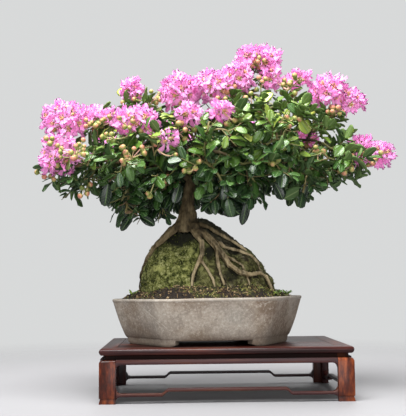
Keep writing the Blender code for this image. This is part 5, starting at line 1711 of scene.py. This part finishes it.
# %% Side twigs and small leaves
TWIG_GAP_MM, LAST_TWIG_AT = (7.0, 11.0), 0.97
TWIG_LENGTH, TWIG_BEND, TWIG_LIFT = (14.0, 30.0), 0.12, 0.10
TWIG_RADII = (0.75, 0.45)
SMALL_LEAF, SMALL_LEAF_TURN_STEP = (15.0, 24.0), 2.7
LEAVES_PER_TWIG = (3, 5)
SIDE_TRIES, END_TRIES, SMALL_OWN_SHARE = 6, 4, 0.30
KEEP_INSIDE = 1.0


def inside_box(points):
    placed = to_frame(points)
    low, high = np.array(CAD_LOW) + KEEP_INSIDE * MM, np.array(CAD_HIGH) - KEEP_INSIDE * MM
    return bool((placed > low).all() and (placed < high).all())


def grow_twigs(name, course, rng, start_share, allowed=anywhere):
    """Side twigs along a course, each as (points, leaves)."""
    twigs = []
    length = sum((b - a).length for a, b in zip(course, course[1:]))
    at = length * start_share
    turn = rng.uniform(0, ANY_TURN)
    while at < length * LAST_TWIG_AT:
        base, along_stem = point_at(course, at / length)
        at += rng.uniform(*TWIG_GAP_MM)
        turn += GOLDEN_ANGLE
        outward = (base - CROWN_HEART).normalized()
        spun = Matrix.Rotation(turn, 3, along_stem) @ along_stem.orthogonal().normalized()
        heading = (spun * 0.9 + along_stem * 0.55 + outward * 0.35 + UP * 0.12).normalized()
        reach = rng.uniform(*TWIG_LENGTH)
        bend = random_step(rng, TWIG_BEND) + UP * TWIG_LIFT
        path = [base, base + heading * reach * 0.5, base + (heading + bend).normalized() * reach]
        leaves = []
        number = rng.randint(*LEAVES_PER_TWIG)
        for k in range(number):
            leaf_base, leaf_along = point_at(path, 0.30 + 0.62 * (k + 0.5) / number)
            leaf_turn = k * SMALL_LEAF_TURN_STEP + rng.uniform(0, 1)
            leaves.append(place_leaf(room, rng, leaf_base, leaf_along, leaf_turn, name, rng.uniform(0.8, 1.3),
                                     SMALL_LEAF, SIDE_TRIES, SMALL_OWN_SHARE, allowed))
        end, towards = point_at(path, 1.0)
        leaves.append(place_leaf(room, rng, end - towards, towards, rng.uniform(0, 6), name, 0.2,
                                 SMALL_LEAF, END_TRIES, SMALL_OWN_SHARE, allowed))
        leaves = [leaf for leaf in leaves if leaf]
        if leaves and inside_box(path):
            twigs.append((path, leaves))
    return twigs


twigs_of = {}
for order, (name, courses) in enumerate(courses_of.items()):
    rng = random.Random(1300 + order)
    twigs_of[name] = []
    for course in courses:
        twigs_of[name] += grow_twigs(name, course, rng, 0.08, above_lowest)
    twigs_of[name] += grow_twigs(name, branches[order], rng, 0.35, above_lowest)
print(sum(len(leaves) for twigs in twigs_of.values() for _, leaves in twigs), "small leaves on",
      sum(map(len, twigs_of.values())), "side twigs")

# %% [markdown]
# ## Filling the crown
# A crown this full has hundreds of twigs, and the sprays alone leave holes that the portrait
# doesn't have. Seeded places inside the outline are tried one by one. Where no leaf is near, a
# new shoot grows there from the nearest wood, with side twigs of its own.

# %% Shoots that fill the crown
def place_in_crown(rng):
    x = rng.uniform(OUTLINE_X[0] + 10, OUTLINE_X[-1] - 10)
    depth = crown_at(x, 0.0)[2]
    y = rng.uniform(-depth, depth)
    low, high, depth = crown_at(x, y)
    return Vector((x, y, rng.uniform(low + 8.0, max(high - 8.0, low + 9.0))))


shoot_courses = sum(courses_of.values(), [])
limb_courses = [[Vector(row[:3]) for row in path] for path in LIMBS]
growth_places = [place for course in [*branches, *shoot_courses, *limb_courses]
                 for place in spaced(course, WOOD_STEP)]
fillings = {piece: [] for piece in FILL_PIECES}
rng = random.Random(1500)
for attempt in range(FILL_TRIES):
    goal = place_in_crown(rng)
    if len(room.near(goal, OPEN_SPACE_MM)):
        continue
    start = nearest(growth_places, goal)
    if not SHOOT_REACH[0] < (goal - start).length < SHOOT_REACH[1]:
        continue
    middle = start.lerp(goal, 0.5) + UP * 4.0 + random_step(rng, 3.0)
    course = curved([start, middle, goal], 3)
    piece = next(name for name, edge in FILL_PIECES.items() if goal.x < edge)
    twigs = grow_twigs(piece, course, rng, 0.25, in_outline)
    if twigs:
        fillings[piece].append((course, twigs))
        growth_places += spaced(course[2:], WOOD_STEP)
filled = sum(len(leaves) for shoots in fillings.values() for _, twigs in shoots for _, leaves in twigs)
print(sum(map(len, fillings.values())), "more shoots with", filled, "leaves")

# %% [markdown]
# ## Buds
# A bud of a crepe myrtle is a round ball with six low ridges, where its sepals meet. It is green
# at its foot and turns red-brown towards its tip. Rings of points with a fan at each end make it.

# %% Buds
BUD_PROFILE = [
    (-1.0, 0.0), (-0.86, 0.50), (-0.45, 0.88), (0.10, 1.0), (0.60, 0.80), (0.90, 0.42), (1.04, 0.0),
]
BUD_SIDES, BUD_RIDGE = 12, 0.07

bud_skin = Finish("flower bud", Specular_IOR_Level=0.4, Roughness=0.42)
bud_skin.set(Base_Color=bud_skin.ramp(
    bud_skin.mark("along") + 0.55 * (bud_skin.mark("shade") - 0.5),
    (0.10, (0.17, 0.22, 0.050)), (0.45, (0.29, 0.31, 0.075)), (0.70, (0.46, 0.32, 0.13)),
    (0.90, (0.58, 0.285, 0.155)), (1.0, (0.52, 0.21, 0.14)),
))
bud_skin.bump(bud_skin.noise(700.0, 3.0, 0.6), 0.0003, 0.4)


def bud_shape(centre, axis, radius):
    """A round bud with six low ridges, its tip towards the axis."""
    side = axis.orthogonal().normalized()
    beside = axis.cross(side)
    points, marks = [], []
    for height, wide in BUD_PROFILE[1:-1]:
        for k in range(BUD_SIDES):
            ridge = 1.0 + BUD_RIDGE * (k % 2 == 0)
            out = spoke(side, beside, FULL_TURN * k / BUD_SIDES)
            points.append(centre + out * wide * radius * ridge + axis * height * radius)
            marks.append((0.5 + height / 2, 0.0))
    rows = len(BUD_PROFILE) - 2
    faces = ring_faces(rows, BUD_SIDES)
    for end, row in ((0, 0), (-1, rows - 1)):
        points.append(centre + axis * BUD_PROFILE[end][0] * radius)
        marks.append((0.0 if end == 0 else 1.0, 0.0))
        for k in range(BUD_SIDES):
            ring = (row * BUD_SIDES + k, row * BUD_SIDES + (k + 1) % BUD_SIDES)
            faces.append((*(ring if end else ring[::-1]), len(points) - 1))
    return points, faces, marks


print("a bud has", len(BUD_PROFILE) - 2, "rings of", BUD_SIDES, "points")

# %% [markdown]
# ## Putting the foliage together
# Each spray becomes one piece with its stems, twigs, leaves and buds. The high and outer leaves
# get painted light, a lighter, yellower green, because they get the most light, and the low leaves
# of the portrait get painted shade. The shoots that fill the crown make four more pieces. Little plants at
# the pot's rim complete the green.

# %% What the pieces are made of
SHADE_HEIGHTS, LOW_PORTRAIT_Z, LOW_PAINTED_SHADE = (238.0, 330.0), 278.0, 0.40
# Each sprig: its foot, how many leaves it has, and how long they are.
SPRIGS = [
    ((-113, -20, 121.5), 6, 9.0), ((79, -34, 122.5), 9, 7.5),
    ((66, -52, 124.0), 7, 6.0), ((-70, -72, 121.0), 6, 5.0),
]
SPRIG_LEAF_WIDTH_SHARE = 0.42
FOLIAGE_FINISHES = [leaf_top, leaf_under, twig_skin, bud_skin]
# On foliage and blooms alike, the third finish is for stems and the fourth for buds.
STEM_FINISH, BUD_FINISH = 2, 3
SPRAY_STEM_SIDES, STEM_SIDES, THIN_SIDES = 8, 6, 5
FILLING_RADII, PORTRAIT_RADII, SPRIG_RADII, BUD_STALK_RADII = (1.1, 0.7), (1.0, 0.6), [0.4, 0.3], (0.55, 0.5)


def add_bud(heap, centre, axis, radius, shade):
    points, faces, marks = bud_shape(centre, axis, radius)
    heap.add(points, faces, BUD_FINISH, shade, marks)


def add_stem(heap, start, end, rise, radii, shade):
    """A stem from start to end that bows up by this much on its way."""
    course = curved([start, start.lerp(end, 0.5) + UP * rise, end], 3)
    add_tube(heap, course, even(*radii, len(course)), STEM_SIDES, STEM_FINISH, shade)


def add_leaf(heap, rng, leaf, blade, painted_shade=0.0):
    """A leaf with painted light: lighter and yellower the higher and further out it hangs, and darker by any
    painted shade it is given. One that would leave the box is left out.
    """
    light = clamped((leaf[0].z - SHADE_HEIGHTS[0]) / (SHADE_HEIGHTS[1] - SHADE_HEIGHTS[0]))
    front = clamped((leaf[0] - CROWN_HEART).length / CROWN_DEPTH_MM)
    points = leaf_points(rng, blade, *leaf)
    # Painted light: high and outer leaves are given a lighter shade, and painted shade darkens the low ones.
    shade = rng.gauss(0.03 + 0.58 * light * front + 0.08 * front - painted_shade, 0.07 + 0.13 * light)
    if inside_box(points):
        heap.add(points, blade.faces, blade.downs, clamped(shade), blade.marks)


def add_twigs(heap, rng, twigs):
    for path, leaves in twigs:
        smooth = curved(path, 3)
        add_tube(heap, smooth, even(*TWIG_RADII, len(smooth)), THIN_SIDES, STEM_FINISH, rng.uniform(0.0, 1.0))
        for leaf in leaves:
            add_leaf(heap, rng, leaf, SMALL_LEAF_BLADE)


print("finishes on the foliage:", [finish.material.name for finish in FOLIAGE_FINISHES])

# %% Foliage pieces
for order, name in enumerate(SPRAYS):
    rng = random.Random(1700 + order)
    heap = Heap()
    for course in courses_of[name]:
        stem = curved(course, 4)
        radii = even(*STEM_RADII, len(stem))
        add_tube(heap, stem, radii, SPRAY_STEM_SIDES, STEM_FINISH, rng.uniform(0.2, 0.8))
    add_twigs(heap, rng, twigs_of[name])
    for leaf in leaves_of[name]:
        add_leaf(heap, rng, leaf, LARGE_LEAF_BLADE)
    for centre, axis, radius in buds_of[name]:
        add_bud(heap, centre, axis, radius, rng.random())
    piece_of(heap.become("foliage_" + name, FOLIAGE_FINISHES), "leaves", "leaves_" + name)

for order, (name, shoots) in enumerate(fillings.items()):
    rng = random.Random(1900 + order)
    heap = Heap()
    for course, twigs in shoots:
        radii = even(*FILLING_RADII, len(course))
        add_tube(heap, course, radii, STEM_SIDES, STEM_FINISH, rng.uniform(0.2, 0.8))
        add_twigs(heap, rng, twigs)
    piece_of(heap.become(name, FOLIAGE_FINISHES), "leaves")

# %% Leaves of the portrait, and sprigs
rng = random.Random(1990)
heap = Heap()
for leaf in portrait_leaves:
    base = leaf[0]
    add_stem(heap, nearest(growth_places, base), base, 2.0, PORTRAIT_RADII, rng.random())
    add_leaf(heap, rng, leaf, LARGE_LEAF_BLADE, LOW_PAINTED_SHADE if base.z < LOW_PORTRAIT_Z else 0.0)
blade = SMALL_LEAF_BLADE
for foot_place, count, length in SPRIGS:
    for k in range(count):
        way = Matrix.Rotation(GOLDEN_ANGLE * k, 3, "Z") @ Vector((0.75, 0, rng.uniform(0.5, 1.4)))
        way.normalize()
        base = Vector(foot_place) + way * rng.uniform(1.0, 4.0)
        add_tube(heap, [Vector(foot_place) - UP * 2, base], SPRIG_RADII, THIN_SIDES, STEM_FINISH, 0.9)
        normal = way.cross(way.orthogonal()).normalized()
        normal = normal if normal.z > 0 else -normal
        reach = length * rng.uniform(0.7, 1.0)
        points = leaf_points(rng, blade, base, way, normal, reach, reach * SPRIG_LEAF_WIDTH_SHARE)
        heap.add(points, blade.faces, blade.downs, rng.uniform(0.6, 0.9), blade.marks)
piece_of(heap.become("portrait_leaves_and_sprigs", FOLIAGE_FINISHES), "leaves")

# %% [markdown]
# ## Blooms
# Each flower of a crepe myrtle has six petals. A petal is a crinkled round blade on a thin claw,
# like a scrap of crumpled silk, and a tuft of yellow stamens stands in the middle. Many flowers
# crowd on one head, so that the heads read as loose balls of pink. The petals here are grids
# like the leaves', with deep ruffles that grow towards the border. A petal is so thin that light
# passes through several of them: half of its shader lets light through, and a faint glow stands
# for the light that has wandered deep into the head.

# %% Petal, stamen and stalk finishes
PETAL_GLOW, PETAL_GLOW_SHARE = (1.0, 0.60, 0.92), 0.50
PETAL_DEPTH_GLOW = 0.14

petal_skin = Finish(
    "petal", Roughness=0.70, Specular_IOR_Level=0.12, Sheen_Weight=0.6, Sheen_Roughness=0.6,
    Sheen_Tint=(1.0, 0.74, 0.95), Emission_Color=(1.0, 0.33, 0.62), Emission_Strength=PETAL_DEPTH_GLOW)
petal_veins = petal_skin.noise(420.0, 4.0, 0.6)
petal_skin.set(Base_Color=petal_skin.layers(
    petal_skin.by_shade((0.0, (1.0, 0.38, 0.78)), (0.4, (1.0, 0.50, 0.86)),
                        (0.75, (1.0, 0.60, 0.92)), (1.0, (1.0, 0.72, 0.96))),
    (0.40 * (1 - petal_skin.mark("along").between(0.0, 0.45)), (0.95, 0.30, 0.48)),
    (0.35 * petal_veins.between(0.45, 0.75), (0.97, 0.62, 0.92)),
))
petal_skin.bump(petal_veins, 0.0004, 0.5)
petal_skin.blend(PETAL_GLOW_SHARE, petal_skin.node("ShaderNodeBsdfTranslucent", {}, {"Color": PETAL_GLOW}))

stamen_skin = Finish("stamens", Base_Color=(0.96, 0.74, 0.26), Roughness=0.6)
stalk_skin = Finish("flower stalks", Roughness=0.55)
stalk_skin.set(Base_Color=stalk_skin.by_shade(
    (0.0, (0.32, 0.38, 0.12)), (0.5, (0.62, 0.44, 0.24)), (1.0, (0.80, 0.42, 0.42)),
))
print("a petal has", len(petal_skin.tree.nodes), "nodes")

# %% Flower shape
PETAL_OUTLINE = [(0.0, 0.05), (0.34, 0.06), (0.44, 0.55), (0.62, 0.96), (0.84, 0.90), (1.0, 0.45)]
PETAL_COLUMNS = (-1.0, -0.66, -0.33, 0.0, 0.33, 0.66, 1.0)
PETAL_COUNT, STAMEN_COUNT = 6, 9
PETAL_LENGTH_MM, PETAL_WIDTH_MM, CLAW_SHARE = 14.0, 11.5, 0.34
PETAL_CRUMPLE_MM, PETAL_THICKNESS_MM = 1.45, 0.25
PETAL_LIFT, PETAL_CURL, PETAL_SIZE, PETAL_ASKEW = (0.10, 0.75), (-0.35, 0.30), (0.88, 1.05), 0.16
FLOWER_SHADE, FLOWER_SHADE_SPREAD, PETAL_SHADE_STEP = 0.50, 0.22, 0.18
PETAL_BLADE = Blade(PETAL_OUTLINE, PETAL_COLUMNS)
PETAL_FINISH, STAMEN_FINISH = 0, 1
STAMEN_RADII, CUP_RADII, STALK_RADII = [0.18, 0.2, 0.52], [0.7, 1.9, 2.3], [0.7, 0.7, 0.7, 0.7, 0.55]
STAMEN_SIDES, CUP_SIDES = 4, 8


def petal_points(rng, centre, out, axis, size):
    """A ruffled petal that leaves the flower's middle in the direction `out`."""
    along, across = PETAL_BLADE.along, PETAL_BLADE.across
    out, axis = np.array(out), np.array(axis)
    beside = np.cross(out, axis)
    lift, curl = rng.uniform(*PETAL_LIFT), rng.uniform(*PETAL_CURL)
    phases = [rng.uniform(0, ANY_TURN) for wave in range(4)]
    limb = np.clip((along - CLAW_SHARE) / 0.66, 0, 1)
    wide = across * PETAL_BLADE.width * PETAL_WIDTH_MM / 2 * size
    ruffle = np.sin(across * 4.2 + phases[0]) * 1.7 + np.sin(along * 15 + across * 3 + phases[1]) * 1.3
    forward = np.sin(across * 5.5 + phases[2]) * 1.3 * limb
    rise = lift * PETAL_LENGTH_MM * size * along + ruffle * limb * size
    rise = rise + curl * PETAL_LENGTH_MM * limb ** 2 * 0.5
    reach = PETAL_LENGTH_MM * size * along * math.cos(lift * 0.8) + forward
    squeeze = wide * (1 + 0.12 * np.sin(along * 9 + phases[3]))
    top = np.array(centre) + np.outer(reach, out) + np.outer(squeeze, beside) + np.outer(rise, axis)
    crumple = np.array([rng.uniform(-1, 1) for number in range(top.size)]).reshape(top.shape)
    top = top + crumple * (PETAL_CRUMPLE_MM * size * limb * (0.35 + 0.65 * np.abs(across)))[:, None]
    return PETAL_BLADE.closed(top, -axis * PETAL_THICKNESS_MM)


def add_flower(heap, rng, centre, axis, foot_place, size):
    """Six petals, stamens, a cup and a stalk."""
    side = axis.orthogonal().normalized()
    spin = rng.uniform(0, ANY_TURN)
    shade = clamped(rng.gauss(FLOWER_SHADE, FLOWER_SHADE_SPREAD))
    for k in range(PETAL_COUNT):
        angle = spin + FULL_TURN * k / PETAL_COUNT + rng.uniform(-PETAL_ASKEW, PETAL_ASKEW)
        out = Matrix.Rotation(angle, 3, axis) @ side
        points = petal_points(rng, centre, out, axis, size * rng.uniform(*PETAL_SIZE))
        if inside_box(points):
            its_shade = clamped(shade + rng.uniform(-PETAL_SHADE_STEP, PETAL_SHADE_STEP))
            heap.add(points, PETAL_BLADE.faces, PETAL_FINISH, its_shade, PETAL_BLADE.marks)
    for k in range(STAMEN_COUNT):
        out = Matrix.Rotation(GOLDEN_ANGLE * k, 3, axis) @ side
        way = (axis + out * rng.uniform(0.15, 0.75)).normalized()
        top = centre + way * rng.uniform(4.5, 7.5) * size
        if inside_box([top]):
            stamen = [centre, centre.lerp(top, 0.86), top]
            add_tube(heap, stamen, STAMEN_RADII, STAMEN_SIDES, STAMEN_FINISH, 0.5)
    cup = [centre - axis * 3.0, centre - axis * 1.6, centre + axis * 0.6]
    add_tube(heap, cup, CUP_RADII, CUP_SIDES, STEM_FINISH, 0.2)
    if (cup[0] - foot_place).length > 1.0:
        stalk = curved([foot_place, foot_place.lerp(cup[0], 0.55) + axis * 0.8, cup[0]], 2)
        add_tube(heap, stalk, STALK_RADII, THIN_SIDES, STEM_FINISH, rng.random())


print("a flower's petals have", 2 * PETAL_COUNT * len(PETAL_BLADE.faces), "triangles")

# %% [markdown]
# ## Growing the masses
# The flowers of a mass stand on an invisible egg, evenly turned by the golden angle, each on a
# stalk from one short stem. A few buds hang below. The clusters of buds are made the same way.

# %% Bloom masses
FLOWER_REACH_MM, LEAST_REACH_MM = 9.0, 2.5
MASS_HUB_SHARE, LOWEST_FLOWER, MASS_STEM_RADII = 0.62, 1.72, (1.3, 0.9)
MASS_REACH, FLOWER_SIZE, MASS_BUD_RADIUS, MASS_BUD_STALK = (0.82, 1.08), (0.86, 1.06), (3.0, 4.0), (7.0, 14.0)
CLUSTER_BUDS = 4
EXTRA_STEM_BELOW_MM = 8.0


def inner_radius(half):
    """How far out a flower's middle stands, so that its petals reach the mass's edge."""
    return max(LEAST_REACH_MM, half - FLOWER_REACH_MM)


def grow_mass(heap, rng, tip, middle, halves, count):
    """Flowers all round a mass, on stalks from its stem, with a few buds below them."""
    middle, tip = Vector(middle), Vector(tip)
    up = (middle - tip).normalized()
    hub = tip.lerp(middle, MASS_HUB_SHARE)
    add_stem(heap, tip, hub, 0.0, MASS_STEM_RADII, 0.8)
    spin = rng.uniform(0, ANY_TURN)
    for k in range(count):
        height = 1 - LOWEST_FLOWER * (k + 0.5) / count
        flat = math.sqrt(1 - height * height)
        turn = spin + GOLDEN_ANGLE * k
        way = Vector((flat * math.cos(turn), flat * math.sin(turn), height))
        reach = Vector([way[i] * inner_radius(halves[i]) * rng.uniform(*MASS_REACH) for i in range(3)])
        centre = middle + reach
        axis = (way + up * 0.25 + random_step(rng, 0.25)).normalized()
        add_flower(heap, rng, centre, axis, hub + random_step(rng, 1.5), rng.uniform(*FLOWER_SIZE))
    for k in range(CLUSTER_BUDS):
        turn = Matrix.Rotation(GOLDEN_ANGLE * k + spin, 3, up)
        way = (turn @ up.orthogonal().normalized() - up * 0.25).normalized()
        foot_place = tip.lerp(hub, rng.uniform(0.2, 0.8))
        centre = foot_place + way * rng.uniform(*MASS_BUD_STALK)
        add_tube(heap, [foot_place, centre], BUD_STALK_RADII, THIN_SIDES, STEM_FINISH, rng.random())
        add_bud(heap, centre, way, rng.uniform(*MASS_BUD_RADIUS), rng.random())


BLOOM_FINISHES = [petal_skin, stamen_skin, stalk_skin, bud_skin]
for order, (node, masses) in enumerate(MASSES.items()):
    rng = random.Random(2100 + order)
    heap = Heap()
    for mass in masses:
        grow_mass(heap, rng, heads[node], *mass)
    piece_of(heap.become(node.replace("flowers", "blooms"), BLOOM_FINISHES), "petals", node)

twig_places = [place for course in shoot_courses for place in spaced(course, BALL_STEP)]
for order, (name, (middle, halves, count)) in enumerate(EXTRA_MASSES.items()):
    rng = random.Random(2300 + order)
    heap = Heap()
    start = nearest(twig_places, Vector(middle) - UP * EXTRA_STEM_BELOW_MM)
    grow_mass(heap, rng, start, middle, halves, count)
    piece_of(heap.become(name, BLOOM_FINISHES), "petals")

# %% Bud clusters
STEM_SHARE, HUB_BELOW_MM, CLUSTER_STEM_RADII = 0.72, 3.0, (1.0, 0.7)
bud_heaps = {"buds_left": Heap(), "buds_right": Heap()}
for order, (name, buds) in enumerate(bud_clusters.items()):
    rng = random.Random(2700 + order)
    middle = sum((centre for centre, radius in buds), Vector()) / len(buds)
    heap = bud_heaps["buds_left" if middle.x < 0 else "buds_right"]
    start = nearest(growth_places, middle)
    hub = start.lerp(middle, STEM_SHARE) - UP * HUB_BELOW_MM
    add_stem(heap, start, hub, -2.0, CLUSTER_STEM_RADII, rng.uniform(0.0, 0.6))
    for centre, radius in buds:
        stalk = curved([hub, hub.lerp(centre, 0.5) + random_step(rng, 1.5), centre], 2)
        add_tube(heap, stalk, even(*BUD_STALK_RADII, len(stalk)), THIN_SIDES, STEM_FINISH, rng.random())
        add_bud(heap, centre, (centre - hub).normalized(), radius, rng.random())
for name, heap in bud_heaps.items():
    piece_of(heap.become(name, BLOOM_FINISHES), "petals")
